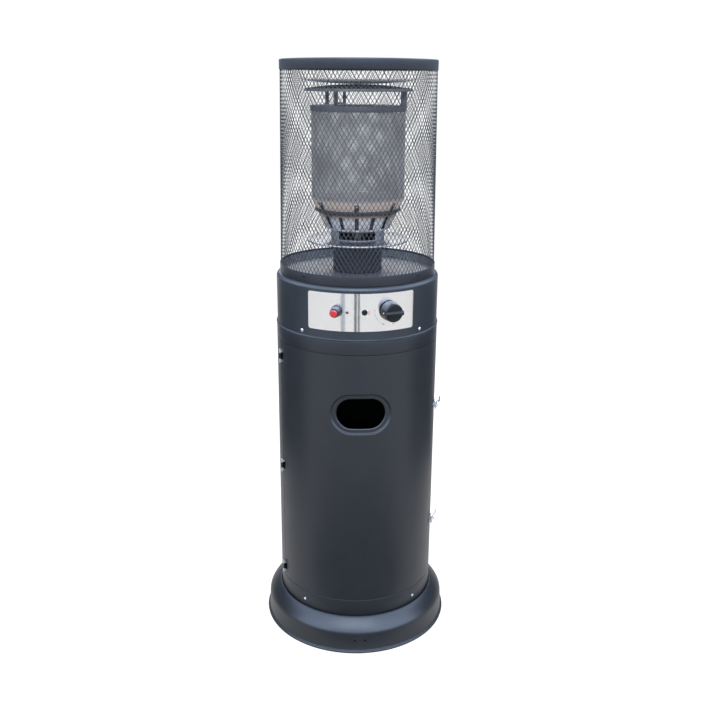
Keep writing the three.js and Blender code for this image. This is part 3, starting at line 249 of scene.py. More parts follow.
def emitter_steel():
    """Dull stainless screen: straw and brown heat tint near its foot, bluish clouds above."""
    material, shader, place = new_material("emitter_steel", Metallic=0.5)
    clouds = noise(place, 16.0, 4)
    plain = ramp(clouds, [(0.3, (0.25, 0.225, 0.21)), (0.7, (0.39, 0.36, 0.335))])
    foot = low("emitter_screen").z
    height = wavy_height(place, clouds, foot, foot + TINT_HEIGHT, 0.14)
    tint = ramp(height, [(0.0, (0.50, 0.37, 0.28)), (0.5, (0.64, 0.52, 0.43)),
                         (0.8, (0.52, 0.45, 0.40)), (0.95, (0.4, 0.4, 0.4))])
    tinted = ramp(height, [(0.70, WHITE), (0.88, BLACK)])
    fill(shader, Base_Color=mix(place.id_data, tinted, plain, tint),
         Roughness=level(noise(place, 300.0), 0.62, 0.78))
    return material


def heat_tinted_shaded_cone():
    """Bright burner cone with brown and blue heat colours towards its upper rim, darkened to near black at
    the rim as painted shade.
    """
    material, shader, place = new_material("heat_tinted_shaded_cone", Metallic=1.0)
    clouds = noise(place, 22.0, 4)
    height = wavy_height(place, clouds, *extent("burner_cone")[1:], 0.06)
    # The top stop is a near-black painted shade, where the emitter ring shades the cone's rim.
    colour = ramp(height, [(0.0, (0.95, 0.89, 0.84)), (0.6, (0.92, 0.84, 0.78)),
                           (0.85, (0.62, 0.46, 0.37)), (0.95, (0.20, 0.13, 0.10))])
    fill(shader, Base_Color=colour, Roughness=level(clouds, 0.36, 0.48))
    return material


COAT = powder_coat("charcoal_powder_coat", (0.016, 0.0195, 0.025), 0.38)
MATT_BLACK = powder_coat("heat_proof_black", (0.010, 0.011, 0.013), 0.5, peel=0.35)
MESH_BLACK = powder_coat("guard_black", (0.016, 0.018, 0.022), 0.45, peel=0.1)
PANEL_STEEL = brushed_metal("polished_panel", (0.87, 0.86, 0.85), 0.13, (0.05, 0.05, 1.0), mark=0.02,
                            relief=0.02, smear=0.95)
DECK_STEEL = brushed_metal("deck_sheet", (0.22, 0.215, 0.21), 0.55, (1.0, 0.15, 1.0), mark=0.12)
# The upper reflector is a matt near white, not polished metal: its bright reflection is painted in as a
# sheen.
UPPER_SHEET = brushed_metal("upper_sheet", (0.92, 0.94, 0.97), 0.35, mark=0.05, metal=0.0)
LOWER_SHEET = brushed_metal("lower_sheet", (0.17, 0.16, 0.155), 0.5, mark=0.12, metal=0.6)
SUPPORT_SHEET = brushed_metal("support_sheet", (0.15, 0.145, 0.145), 0.45, mark=0.12, metal=0.6)
SHIELD_SHEET = brushed_metal("shield_sheet", (0.30, 0.295, 0.29), 0.35, (0.3, 0.3, 1.0), mark=0.10)
DARK_STEEL = brushed_metal("heated_sheet", (0.085, 0.079, 0.08), 0.55, mark=0.15, metal=0.6)
ZINC = brushed_metal("zinc_plate", (0.66, 0.67, 0.69), 0.3, EVEN, grain=500.0, mark=0.1)
BLACK_ZINC = brushed_metal("black_zinc_plate", (0.05, 0.05, 0.055), 0.3, EVEN, grain=500.0, mark=0.1)
BLACK_PLASTIC = moulded("black_plastic", (0.012, 0.013, 0.016), 0.33, specular=0.26)
RED_PLASTIC = moulded("red_plastic", (0.72, 0.035, 0.045), 0.28, coat=0.4)
RED_LENS = moulded("red_lens", (0.11, 0.004, 0.006), 0.12, coat=1.0)
WHITE_PRINT = moulded("white_print", (0.70, 0.72, 0.75), 0.45)
RED_PRINT = moulded("red_print", (0.70, 0.06, 0.05), 0.45)
GREY_PRINT = moulded("grey_print", (0.22, 0.22, 0.24), 0.45)
EMITTER = emitter_steel()
CONE = heat_tinted_shaded_cone()
FINISHES = {
    "coat": COAT, "black_coat": MATT_BLACK, "zinc": ZINC, "black_plastic": BLACK_PLASTIC,
    "red_plastic": RED_PLASTIC, "red_lens": RED_LENS,
    "stainless": brushed_metal("bright_sheet", (0.78, 0.79, 0.80), 0.24, (0.2, 0.2, 1.0)),
    "dull_steel": brushed_metal("dull_sheet", (0.46, 0.46, 0.47), 0.4, mark=0.12),
    "brass": brushed_metal("turned_brass", (0.69, 0.51, 0.22), 0.28, EVEN),
    # Copper and die casting are much darker than their own colours: painted shade for the pipes and castings
    # inside the burner's cup.
    "copper": brushed_metal("copper_darkened_as_shade", (0.10, 0.06, 0.045), 0.5, mark=0.2),
    "cast_metal": brushed_metal("die_casting_darkened_as_shade", (0.20, 0.20, 0.205), 0.5, EVEN, grain=1500.0, relief=0.3),
    "ceramic": moulded("glazed_ceramic", (0.78, 0.76, 0.70), 0.2, coat=0.6),
}


# Objects and meshes

SHARP_ANGLE = 38
BEVEL_ANGLE = 32
SMALL_BEVEL = 0.25 * MM
TINY = 1e-9


def put(name, data):
    """A new object in the scene."""
    thing = bpy.data.objects.new(name, data)
    bpy.context.scene.collection.objects.link(thing)
    return thing


def new_mesh(name, verts, faces):
    mesh = bpy.data.meshes.new(name)
    mesh.from_pydata([tuple(v) for v in verts], [], faces)
    return mesh


def finish(name, mesh, material, body="root", nodes=()):
    mesh.materials.clear()
    mesh.materials.append(material)
    piece = put(name, mesh)
    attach(piece, body)
    if nodes:
        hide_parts(*nodes)
    return piece


def modified(piece, kind, **settings):
    """Applies one modifier to the piece's mesh."""
    tune(piece.modifiers.new(kind.lower(), kind), **settings)
    graph = bpy.context.evaluated_depsgraph_get()
    mesh = bpy.data.meshes.new_from_object(piece.evaluated_get(graph))
    old = piece.data
    piece.modifiers.clear()
    piece.data = mesh
    bpy.data.meshes.remove(old)
    return piece


def turned_outwards(mesh, merge=False):
    """Turns the faces of a closed mesh outwards, and can first join what lies in one plane."""
    shape = bmesh.new()
    shape.from_mesh(mesh)
    if merge:
        bmesh.ops.remove_doubles(shape, verts=shape.verts, dist=MM / 1000)
        bmesh.ops.dissolve_limit(shape, angle_limit=radians(1), verts=shape.verts, edges=shape.edges)
    bmesh.ops.recalc_face_normals(shape, faces=shape.faces)
    shape.to_mesh(mesh)
    shape.free()
    return mesh


def shade(piece):
    piece.data.shade_smooth()
    piece.data.set_sharp_from_angle(angle=radians(SHARP_ANGLE))
    return piece


def make(name, verts, faces, material, slot, body="root", nodes=(), smooth=True, sheet=0.0):
    """A finished piece from points and faces, shaded smooth with its sharp edges kept.

    With a sheet thickness the faces are an open skin that faces out, and it is thickened inwards.
    """
    piece = finish(name, new_mesh(name, verts, faces), material, body, nodes)
    if sheet:
        modified(piece, "SOLIDIFY", thickness=sheet, offset=-1, use_even_offset=True)
    turned_outwards(piece.data)
    return shade(piece) if smooth else piece


def dress(node, verts, faces, material, sheet=0.0):
    """The finished form of a CAD node, on the node's body."""
    return make(f"{node}_fine", verts, faces, material, SLOTS[node], BODIES.get(node, "root"), [node],
                sheet=sheet)


def turned(node, outline, material, segments=ROUND_SEGMENTS):
    return dress(node, *lathe(outline, segments), material)


def band(first, second):
    """Faces between two closed rings of as many points."""
    following = zip(first[1:] + first[:1], second[1:] + second[:1])
    return [[a, b, d, c] for a, c, (b, d) in zip(first, second, following)]


def grow(verts, point):
    """Adds a point and gives its number."""
    verts.append(point)
    return len(verts) - 1


def lathe(outline, segments, closed=True):
    """Points and faces of an outline of (radius, height) turned about the vertical axis."""
    verts = []
    rings = []
    for radius, height in outline:
        if radius < TINY:
            rings.append([grow(verts, (0.0, 0.0, height))] * segments)
        else:
            rings.append([grow(verts, (*polar(360 * i / segments, radius), height))
                          for i in range(segments)])
    faces = []
    for first, second in zip(rings, rings[1:] + rings[:1] if closed else rings[1:]):
        corners = [list(dict.fromkeys(face)) for face in band(first, second)]
        faces += [face for face in corners if len(face) > 2]
    return verts, faces


def beside(radius, height, *points):
    """Outline points that are given in millimetres from a place."""
    return [(radius + x * MM, height + z * MM) for x, z in points]


def arc(radius, height, wide, tall, angles):
    """Points around a centre, at angles that count from straight outwards."""
    turns = [radians(angle) for angle in angles]
    return [(radius + wide * cos(turn), height + tall * sin(turn)) for turn in turns]


def pressed(line, thickness, radius, count=3):
    """The outline of sheet metal along an open line, with rounded corners."""
    return rounded(sheet_outline(line, thickness), radius, count)


def rod(radius, near, far):
    """The outline of a plain round rod."""
    return [(0, near), (radius, near), (radius, far), (0, far)]


FLAT_CORNER = radians(86)
LONGEST_SHARE = 0.45


def rounded(points, radius, count=3):
    """A closed outline with its corners rounded to a radius, or less where a side is short."""
    result = []
    for i, point in enumerate(points):
        here = Vector(point)
        before = Vector(points[i - 1]) - here
        after = Vector(points[(i + 1) % len(points)]) - here
        half = before.angle(after, pi) / 2
        if here.x < TINY or half > FLAT_CORNER:
            result.append(tuple(here))
            continue
        longest = LONGEST_SHARE * min(before.length, after.length)
        reach = min(radius / max(tan(half), 0.05), longest)
        start = here + before.normalized() * reach
        end = here + after.normalized() * reach
        for t in steps(0, 1, count):
            result.append(tuple(start * (1 - t) ** 2 + here * 2 * t * (1 - t) + end * t ** 2))
    return result


def eased(points, count=4):
    """A smooth open line through the points."""
    line = [Vector(p) for p in points]
    padded = [line[0] * 2 - line[1], *line, line[-1] * 2 - line[-2]]
    result = []
    for a, b, c, d in zip(padded, padded[1:], padded[2:], padded[3:]):
        for k in range(count):
            t = k / count
            result.append((b * 2 + (c - a) * t + (a * 2 - b * 5 + c * 4 - d) * t * t
                           + (b * 3 - a - c * 3 + d) * t ** 3) / 2)
    result.append(line[-1])
    return [tuple(p) for p in result]


def sheet_outline(line, thickness):
    """Closes an open outline into sheet metal: its copy lies a thickness to the right of its way."""
    points = [Vector(p) for p in line]
    ways = [(b - a).normalized() for a, b in zip(points, points[1:])]
    inner = []
    for point, before, after in zip(points, [ways[0], *ways], [*ways, ways[-1]]):
        side = Vector((before.y, -before.x))
        normal = (side + Vector((after.y, -after.x))).normalized()
        inner.append(tuple(point + normal * thickness / max(0.4, normal.dot(side))))
    return [tuple(p) for p in points] + inner[::-1]


def station(angle, radius, height):
    """A place on the wall: its X runs along the wall, -Y points out and Z is up."""
    x, y = polar(angle, radius)
    return Matrix.Translation((x, y, height)) @ Matrix.Rotation(radians(angle), 4, "Z")


def turned_out(outline, place, segments=SMALL_SEGMENTS):
    """Points and faces of an outline of (radius, depth) turned about a line out of the heater."""
    verts, faces = lathe(outline, segments)
    return [place @ Vector((x, -z, y)) for x, y, z in verts], faces


def block(place, lowest, highest):
    """Points and faces of a box between two corners in a place's own axes."""
    xs, ys, zs = zip(lowest, highest)
    corners = [(x, y, z) for x in xs for y in ys for z in zs]
    faces = [(0, 1, 3, 2), (4, 6, 7, 5), (0, 4, 5, 1), (2, 3, 7, 6), (0, 2, 6, 4), (1, 5, 7, 3)]
    return [place @ Vector(c) for c in corners], faces


def bar(rows):
    """Points and faces of a closed bar through rows of the same number of points."""
    wide = len(rows[0])
    rings = [list(range(start, start + wide)) for start in range(0, len(rows) * wide, wide)]
    faces = [rings[0], rings[-1]]
    for first, second in zip(rings, rings[1:]):
        faces += band(first, second)
    return [point for row in rows for point in row], faces


def arc_block(inner, outer, start, end, bottom, top, count=24):
    """Points and faces of a closed curved block between two radii, two angles and two heights."""
    corners = ((inner, bottom), (outer, bottom), (outer, top), (inner, top))
    return bar([[(*polar(angle, radius), height) for radius, height in corners]
                for angle in steps(start, end, count)])


def cut(piece, *tools):
    """Cuts closed shapes, given as (points, faces), out of a piece."""
    verts = []
    faces = []
    for tool_verts, tool_faces in tools:
        faces.extend([[len(verts) + i for i in face] for face in tool_faces])
        verts.extend(tool_verts)
    tool = put("cutter", turned_outwards(new_mesh("cutter", verts, faces)))
    modified(piece, "BOOLEAN", operation="DIFFERENCE", solver="EXACT", object=tool)
    bpy.data.objects.remove(tool)
    return shade(piece)


def bevelled(piece, width):
    modified(piece, "BEVEL", width=width, segments=2, limit_method="ANGLE",
             angle_limit=radians(BEVEL_ANGLE))
    return modified(shade(piece), "WEIGHTED_NORMAL", keep_sharp=True)


def refined(node, material):
    """A copy of a small CAD node with its edges rounded."""
    mesh = turned_outwards(frame["nodes"][node].data.copy(), merge=True)
    piece = finish(f"{node}_fine", mesh, material, BODIES.get(node, "root"), [node])
    return bevelled(piece, SMALL_BEVEL)


# Camera and stage

CAMERA_AZIMUTH = -3.1
CAMERA_DISTANCE = 2.021
CAMERA_HEIGHT = 1.325
CAMERA_PITCH = 17.526
CAMERA_ROLL = 0.391
FOCAL_PIXELS = 869.9
IMAGE_PIXELS = 710
CENTRE_PIXEL = 356.8
SENSOR = 36.0


def make_camera():
    data = tune(bpy.data.cameras.new("camera"), sensor_width=SENSOR,
                lens=FOCAL_PIXELS / IMAGE_PIXELS * SENSOR,
                shift_x=(IMAGE_PIXELS / 2 - CENTRE_PIXEL) / IMAGE_PIXELS)
    camera = put("camera", data)
    place = station(CAMERA_AZIMUTH, CAMERA_DISTANCE, CAMERA_HEIGHT)
    pitch = Matrix.Rotation(radians(90 - CAMERA_PITCH), 4, "X")
    camera.matrix_world = place @ pitch @ Matrix.Rotation(radians(CAMERA_ROLL), 4, "Z")
    bpy.context.scene.camera = camera


FLOOR_SIZE = 16.0
FLOOR_ALBEDO = 0.5
FLOOR_SEEN = 0.8
FLOOR_GLOSS = 0.84
WORLD_FILL = 0.45
SKY_GLOSS = 5.8
HORIZON_GLOSS = 0.55
SKY_TINT = (0.60, 0.74, 1.0)


def ray_kinds(tree):
    """1 for the rays that show the background to the camera, and 1 for the rays of reflections."""
    rays = add(tree, "LightPath").outputs
    return combine("MAXIMUM", rays["Is Camera Ray"], rays["Is Transmission Ray"]), rays["Is Glossy Ray"]


def emission(tree, colour, strength):
    return add(tree, "Emission", Color=colour, Strength=strength).outputs["Emission"]


def shine(material, source):
    tree = material.node_tree
    feed(tree.nodes["Material Output"].inputs["Surface"], source)


def stage_object(name, verts, faces, material):
    mesh = new_mesh(name, verts, faces)
    mesh.materials.append(material)
    thing = put(name, mesh)
    return thing


def mirrored_only(name, verts, faces, colour, strength):
    """A board that shines by itself, and that only reflections show."""
    material = new_material(f"{name}_paint")[0]
    shine(material, emission(material.node_tree, colour, strength))
    thing = stage_object(name, verts, faces, material)
    for rays in ("camera", "diffuse", "shadow", "transmission"):
        setattr(thing, f"visible_{rays}", False)


def rectangle(x0, x1, y0, y1, z):
    return [(x0, y0, z), (x1, y0, z), (x1, y1, z), (x0, y1, z)], [(0, 1, 2, 3)]


def make_floor():
    """A floor that stays white to the camera apart from the shadow."""
    half = FLOOR_SIZE / 2
    material, shader, _ = new_material(
        "studio_floor", Roughness=0.9, Specular_IOR_Level=0.0, Base_Color=(FLOOR_ALBEDO,) * 3)
    tree = material.node_tree
    seen, glossy = ray_kinds(tree)
    glow = emission(tree, WHITE, combine("MULTIPLY", seen, FLOOR_SEEN))
    both = add(tree, "AddShader", shader.outputs["BSDF"], glow).outputs["Shader"]
    mirrored = emission(tree, WHITE, FLOOR_GLOSS)
    shine(material, add(tree, "MixShader", glossy, both, mirrored).outputs["Shader"])
    stage_object("floor", *rectangle(-half, half, -half, half, 0), material)


def make_world():
    """A white world, in which reflections see a sky that is brightest in front, half way up."""
    world = bpy.data.worlds.new("studio")
    bpy.context.scene.world = world
    world.use_nodes = True
    tree = world.node_tree
    seen, glossy = ray_kinds(tree)
    way = add(tree, "SeparateXYZ", add(tree, "TexCoord").outputs["Generated"]).outputs
    tones = ((0.03, 0.0), (0.20, 0.9), (0.5, 1.0), (0.95, 0.5))
    height = ramp(way["Z"], [(where, (tone,) * 3) for where, tone in tones])
    front = level(way["Y"], 1.0, 0.0, 0.15, 0.75)
    overcast = combine("MULTIPLY", combine("MULTIPLY", height, front), SKY_GLOSS)
    reflected = combine("MULTIPLY", combine("ADD", overcast, HORIZON_GLOSS), glossy)
    strength = combine("MAXIMUM", reflected, level(seen, WORLD_FILL, 1.0))
    fill(tree.nodes["Background"], Strength=strength, Color=mix(tree, glossy, WHITE, SKY_TINT))


LAMP_AIM = Vector((0, 0, 0.7))


def lamp(name, azimuth, distance, height, width, tall, watts, colour=WHITE, shown=True):
    light = put(name, tune(bpy.data.lights.new(name, "AREA"), shape="RECTANGLE", size=width,
                           size_y=tall, energy=watts, color=colour))
    light.location = (*polar(azimuth, distance), height)
    light.rotation_euler = (LAMP_AIM - light.location).to_track_quat("-Z", "Y").to_euler()
    light.visible_glossy = shown


def make_lights():
    lamp("sky", -4, 2.3, 2.9, 2.4, 1.5, 70, (0.76, 0.86, 1.0))
    lamp("left_fill", -80, 2.4, 0.7, 0.9, 1.6, 12, shown=False)
    lamp("right_fill", 84, 2.4, 0.7, 0.9, 1.6, 16, shown=False)
    lamp("back", 180, 2.6, 2.2, 1.8, 1.2, 30)


BOARDS = [("board_left", -5.2, 0.112, 0.12), ("board_right", -0.8, 0.084, 0.13),
          ("board_wide", -21.7, 0.18, 0.48)]
BOARD_DISTANCE = 2.0
BOARD_TALL = 1.2
BOARD_THICK = 10 * MM
BOARD_TINT = (0.84, 0.91, 1.0)
WALLS = [("wall_left", -137, -74), ("wall_right", 74, 135)]
WALL_DISTANCE = 1.05
WALL_TALL = 0.76
WALL_TINT = (0.88, 0.94, 1.0)
MAT_WIDE = 1.1
MAT_NEAR = 0.26
MAT_FAR = 1.0
SHADOW_DISC_INSET = 12 * MM


def make_boards():
    """Dark boards, walls and a mat that only reflections show, as the polished panel mirrors them."""
    for name, azimuth, width, glow in BOARDS:
        place = station(azimuth, BOARD_DISTANCE, 0)
        board = block(place, (-width / 2, 0, 0), (width / 2, BOARD_THICK, BOARD_TALL))
        mirrored_only(name, *board, BOARD_TINT, glow)
    mat = rectangle(-MAT_WIDE / 2, MAT_WIDE / 2, -MAT_FAR, -MAT_NEAR, MM)
    mirrored_only("mat", *mat, WHITE, 0.3)
    for name, start, end in WALLS:
        wall = arc_block(WALL_DISTANCE, WALL_DISTANCE + BOARD_THICK, start, end, 2 * MM, WALL_TALL, 40)
        mirrored_only(name, *wall, WALL_TINT, 0.12)
    # A dark disc on the floor under the base, seen through its holes: a painted shadow.
    radius = high("base_dish").y - SHADOW_DISC_INSET
    shadow_disc = lathe([(0, MM / 2), (radius, MM / 2)], 60, closed=False)
    stage_object("shadow_under_base", *shadow_disc, new_material("shadow_under_base", Roughness=0.9, Base_Color=(0.01,) * 3)[0])


# Base and cabinet: outlines in millimetres

BASE_SHEET = 1.5 * MM
BASE_HOLE = 2.2 * MM
BASE_HOLE_OUT = 12.5 * MM
BASE_HOLE_HEIGHT = 33.0 * MM
BASE_LEDGE_RADIUS = 168.0 * MM
BASE_SEAT_GAP = 0.3 * MM
BASE_SLOPE = [(191.6, 79.7), (192.6, 81.7), (194.6, 82.4), (197.2, 81.5), (200.5, 79.2), (206.0, 74.4),
              (211.5, 68.9), (216.5, 63.0), (220.3, 57.4), (222.3, 53.2), (223.3, 49.0), (223.6, 44.0)]
BASE_SKIRT = [(225.2, 10.0), (225.9, 7.4), (227.4, 6.8), (228.9, 6.0), (229.7, 4.6), (229.8, 3.0),
              (229.3, 1.3), (228.2, 0.3), (226.6, 0.0)]
BASE_UNDER = [(224.6, 0), (224.0, 1), (223.4, 8), (222.1, 34), (221.2, 47), (218.9, 54.8),
              (214.8, 62.4), (209.0, 69.5), (202.2, 75.8)]


def make_base():
    seat = low("lower_ring").z - BASE_SEAT_GAP
    outline = [(BASE_LEDGE_RADIUS, seat), (190.9 * MM, seat), *eased(beside(0, 0, *BASE_SLOPE)),
               *eased(beside(0, 0, *BASE_SKIRT), 3), *beside(0, 0, *BASE_UNDER),
               (196.0 * MM, seat - BASE_SHEET), (BASE_LEDGE_RADIUS, seat - BASE_SHEET)]
    dish = turned("base_dish", outline, COAT)
    drill = rod(BASE_HOLE, 200 * MM, 240 * MM)
    spots = [Matrix.Translation((side * BASE_HOLE_OUT, 0, BASE_HOLE_HEIGHT)) for side in (-1, 1)]
    cut(dish, *[turned_out(drill, spot, 20) for spot in spots])


FLOOR_LIP = 6.0 * MM


def make_bottle_floor():
    radius, foot, top = extent("bottle_floor")
    line = [(0, top), (radius, top), (radius, foot), (radius - FLOOR_LIP, foot)]
    turned("bottle_floor", pressed(line, BASE_SHEET, 1.2 * MM, 2), MATT_BLACK)


FLANGE_DEPTH = 2.0 * MM
DOOR_STOP = 8.5 * MM
EDGE_ROUND = 0.7 * MM
SPIGOT_GAP = 1.8 * MM


def make_rings():
    stop = body_radius - FLANGE_DEPTH
    step = door_foot - SHEET
    foot = low("lower_ring").z
    lower = [(stop, step + DOOR_STOP), (stop, step), (body_radius, step), (body_radius, foot)]
    turned("lower_ring", pressed(lower, SHEET, EDGE_ROUND), COAT)
    top = collar_bottom - PANEL_GAP
    step = door_head + SHEET
    spigot = COLLAR_RADIUS - SPIGOT_GAP
    upper = [(spigot, high("upper_ring").z), (spigot, top), (body_radius, top), (body_radius, step),
             (stop, step), (stop, step - DOOR_STOP)]
    turned("upper_ring", pressed(upper, SHEET, EDGE_ROUND), COAT)


HINGE_ANGLE = -70.5
HINGE_SEAM = -70.3
LATCH_SEAM = 79.0
HINGE_HEIGHTS = [708.0 * MM, 428.0 * MM, 149.0 * MM]
HINGE_WINDOW_HALF = 9.6 * MM
HINGE_WINDOW_TALL = 15.0 * MM
SEAM_HALF = degrees(0.5 * MM / body_radius)
HAND_HEIGHT = 605.0 * MM
HAND_STRAIGHT = 21.5 * MM
PATCH_WIDE = 76.0 * MM
PATCH_TALL = 56.0 * MM
PATCH_SLACK = MM / 100
EDGE_BEVEL = 0.4 * MM
patch_arc = asin(PATCH_WIDE / body_radius) * body_radius


def wall_piece(node, from_angle, to_angle, hand_hole=False):
    """A curved sheet of the cabinet between two angles, as a grid along the wall and up it."""
    start, end = [radians(a) * body_radius for a in (from_angle, to_angle)]
    columns = steps(start, end, 110)
    rows = steps(door_foot, door_head, 12)
    if hand_hole:
        columns = [*steps(start, -patch_arc, 26), *steps(-patch_arc, patch_arc, 28)[1:],
                   *steps(patch_arc, end, 32)[1:]]
        patch_foot = HAND_HEIGHT - PATCH_TALL
        patch_head = HAND_HEIGHT + PATCH_TALL
        rows = [*steps(door_foot, patch_foot, 10), *steps(patch_foot, patch_head, 16)[1:],
                *steps(patch_head, door_head, 4)[1:]]
    verts = [(*polar(degrees(s / body_radius), body_radius), z) for s in columns for z in rows]
    tall = len(rows)
    faces = []
    for i in range(len(columns) - 1):
        for j in range(tall - 1):
            across = abs(columns[i] + columns[i + 1]) / 2
            up = abs((rows[j] + rows[j + 1]) / 2 - HAND_HEIGHT)
            if not (hand_hole and across < patch_arc - PATCH_SLACK and up < PATCH_TALL - PATCH_SLACK):
                faces.append([i * tall + j, (i + 1) * tall + j, (i + 1) * tall + j + 1, i * tall + j + 1])
    if hand_hole:
        add_hand_hole(verts, faces, columns, rows)
    return dress(node, verts, faces, COAT, SHEET)


HAND_PROFILE = [(53.0, 0.0), (49.6, 0.0), (48.6, 0.15), (47.8, 0.7), (47.3, 1.6), (46.9, 2.9), (46.3, 3.9),
                (45.2, 4.4), (44.0, 4.5), (39.2, 4.5), (37.8, 4.6), (36.8, 5.1), (36.2, 6.0), (36.0, 7.2)]


def stadium_point(dx, dz, radius):
    """Where a ray from the hand hole's centre meets the outline of that radius."""
    if abs(dz) > TINY and abs(dx / dz) * radius <= HAND_STRAIGHT:
        t = radius / abs(dz)
        return dx * t, dz * t
    side = copysign(HAND_STRAIGHT, dx)
    a = dx * dx + dz * dz
    b = -2 * dx * side
    c = side * side - radius * radius
    t = (-b + sqrt(b * b - 4 * a * c)) / (2 * a)
    return dx * t, dz * t


def add_hand_hole(verts, faces, columns, rows):
    """Rings from the patch's edge to the recessed rim and the rolled edge of the hole."""
    near = [i for i, s in enumerate(columns) if abs(s) <= patch_arc + PATCH_SLACK]
    span = [j for j, z in enumerate(rows) if abs(z - HAND_HEIGHT) <= PATCH_TALL + PATCH_SLACK]
    loop = [*[(i, span[0]) for i in near], *[(near[-1], j) for j in span[1:]],
            *[(i, span[-1]) for i in near[-2::-1]], *[(near[0], j) for j in span[-2:0:-1]]]
    ring = [i * len(rows) + j for i, j in loop]
    for radius, depth in HAND_PROFILE:
        fresh = []
        for i, j in loop:
            flat = body_radius * sin(columns[i] / body_radius)
            x, z = stadium_point(flat, rows[j] - HAND_HEIGHT, radius * MM)
            spot = polar(degrees(asin(x / body_radius)), body_radius - depth * MM)
            fresh.append(grow(verts, (*spot, HAND_HEIGHT + z)))
        faces += band(ring, fresh)
        ring = fresh


def make_cabinet():
    windows = [block(station(HINGE_ANGLE, body_radius, height),
                     (-HINGE_WINDOW_HALF, -4 * MM, -HINGE_WINDOW_TALL),
                     (HINGE_WINDOW_HALF, 6 * MM, HINGE_WINDOW_TALL)) for height in HINGE_HEIGHTS]
    door = wall_piece("door_panel", HINGE_SEAM, LATCH_SEAM - SEAM_HALF, hand_hole=True)
    rear = wall_piece("rear_shell", LATCH_SEAM + SEAM_HALF, 360 + 2 * HINGE_ANGLE - HINGE_SEAM)
    for piece in (door, rear):
        bevelled(cut(piece, *windows), EDGE_BEVEL)


# Collar and panel

COLLAR_SHOULDER = 9.0 * MM
COLLAR_BEAD = 2.0 * MM
LEDGE_RADIUS = 166.0 * MM
PANEL_HALF_ANGLE = 37.5
PANEL_CORNER = 6.0 * MM
STEM_HOLE = 7.0 * MM
IGNITER_HOLE = 9.8 * MM
SIGHT_HOLE = 4.5 * MM
INDICATOR_HOLE = 2.5 * MM
HOLE_REACH = 8.0 * MM
CONTROL_HEIGHT = 846.0 * MM
FITTING_HEIGHT = 843.5 * MM
KNOB_ANGLE = 18.4
SIGHT_ANGLE = 1.8
knob_place = station(KNOB_ANGLE, COLLAR_RADIUS, CONTROL_HEIGHT)
igniter_place = station(-16.6, COLLAR_RADIUS, CONTROL_HEIGHT)
sight_place = station(SIGHT_ANGLE, COLLAR_RADIUS, FITTING_HEIGHT)
indicator_place = station(-9.6, COLLAR_RADIUS, FITTING_HEIGHT)


def fitting_holes():
    holes = ((knob_place, STEM_HOLE), (igniter_place, IGNITER_HOLE), (sight_place, SIGHT_HOLE),
             (indicator_place, INDICATOR_HOLE))
    return [turned_out(rod(radius, -HOLE_REACH, HOLE_REACH), place, 32) for place, radius in holes]


def make_collar():
    inner = COLLAR_RADIUS - SHEET
    swell = bead_radius - COLLAR_BEAD
    flat = COLLAR_RADIUS - COLLAR_SHOULDER
    bead = arc(swell, collar_bottom + COLLAR_BEAD, COLLAR_BEAD, COLLAR_BEAD, range(-90, 51, 20))
    shoulder = arc(flat, collar_top - COLLAR_SHOULDER, COLLAR_SHOULDER, COLLAR_SHOULDER, range(0, 91, 10))
    outline = [*beside(inner, collar_bottom, (0, 0.6)), *beside(swell, collar_bottom, (-1, 0)), *bead,
               *beside(COLLAR_RADIUS, collar_bottom, (0.25, 4.4), (0, 5.6)), *shoulder,
               (LEDGE_RADIUS, collar_top), (LEDGE_RADIUS, collar_top - SHEET), (flat, collar_top - SHEET),
               *beside(inner, collar_top, (-2, -4)), (inner, collar_top - COLLAR_SHOULDER)]
    cut(turned("collar_shell", outline, COAT), *fitting_holes())


def make_panel():
    _, bottom, top = extent("control_panel")
    outer = COLLAR_RADIUS + PANEL_GAP + SHEET
    half = radians(PANEL_HALF_ANGLE) * outer
    corner = half - PANEL_CORNER
    curve = [s * (corner + PANEL_CORNER * sin(radians(t))) for t in range(0, 90, 10) for s in (-1, 1)]
    columns = sorted({*[half * k / 40 for k in range(-40, 41)], *curve})
    verts = []
    for s in columns:
        past = max(0.0, abs(s) - corner)
        drop = PANEL_CORNER - sqrt(max(0.0, PANEL_CORNER ** 2 - past ** 2))
        x, y = polar(degrees(s / outer), outer)
        verts += [(x, y, bottom + drop), (x, y, top - drop)]
    faces = [[i, i + 2, i + 3, i + 1] for i in range(0, len(verts) - 2, 2)]
    bevelled(cut(dress("control_panel", verts, faces, PANEL_STEEL, SHEET), *fitting_holes()), SMALL_BEVEL)


# Controls, with depths counted from the collar's wall

KNOB_NEAR = 4.9 * MM
KNOB_LONG = 34.0 * MM
KNOB_SKIRT = 20.0 * MM
KNOB_RADIUS = 22.5 * MM
KNOB_FRONT = 20.5 * MM
GRIP_RISE = 8.0 * MM


def make_knob():
    skirt = KNOB_NEAR + KNOB_SKIRT
    far = KNOB_NEAR + KNOB_LONG
    face = far - GRIP_RISE
    outline = [*beside(0, KNOB_NEAR, (0, 2), (5, 2), (18, 2), (19, 0)),
               *beside(KNOB_RADIUS, KNOB_NEAR, (-0.6, 0), (0, 1.2)), *beside(KNOB_FRONT, skirt, (0.3, 0)),
               *beside(KNOB_FRONT, face, (-0.2, -1.6), (-1.9, 0)), (0, face)]
    solid = turned_out(rounded(outline, 0.8 * MM), knob_place, 72)
    piece = dress("control_knob", *solid, BLACK_PLASTIC)
    grip = make_grip(KNOB_FRONT - 0.4 * MM, face, far)
    grip.parent = piece
    grip.matrix_parent_inverse = piece.matrix_world.inverted()
    mark = block(knob_place, (-KNOB_RADIUS - 0.02 * MM, -skirt + 1.5 * MM, -1.1 * MM),
                 (-KNOB_RADIUS + 1.5 * MM, -skirt + 5.0 * MM, 1.1 * MM))
    bevelled(make("knob_pointer", *mark, WHITE_PRINT, "black_plastic", "knob"), 0.1 * MM)


GRIP_HALF = 5.6 * MM
GRIP_SWELL = 0.8 * MM
GRIP_FOOT = 1.0 * MM


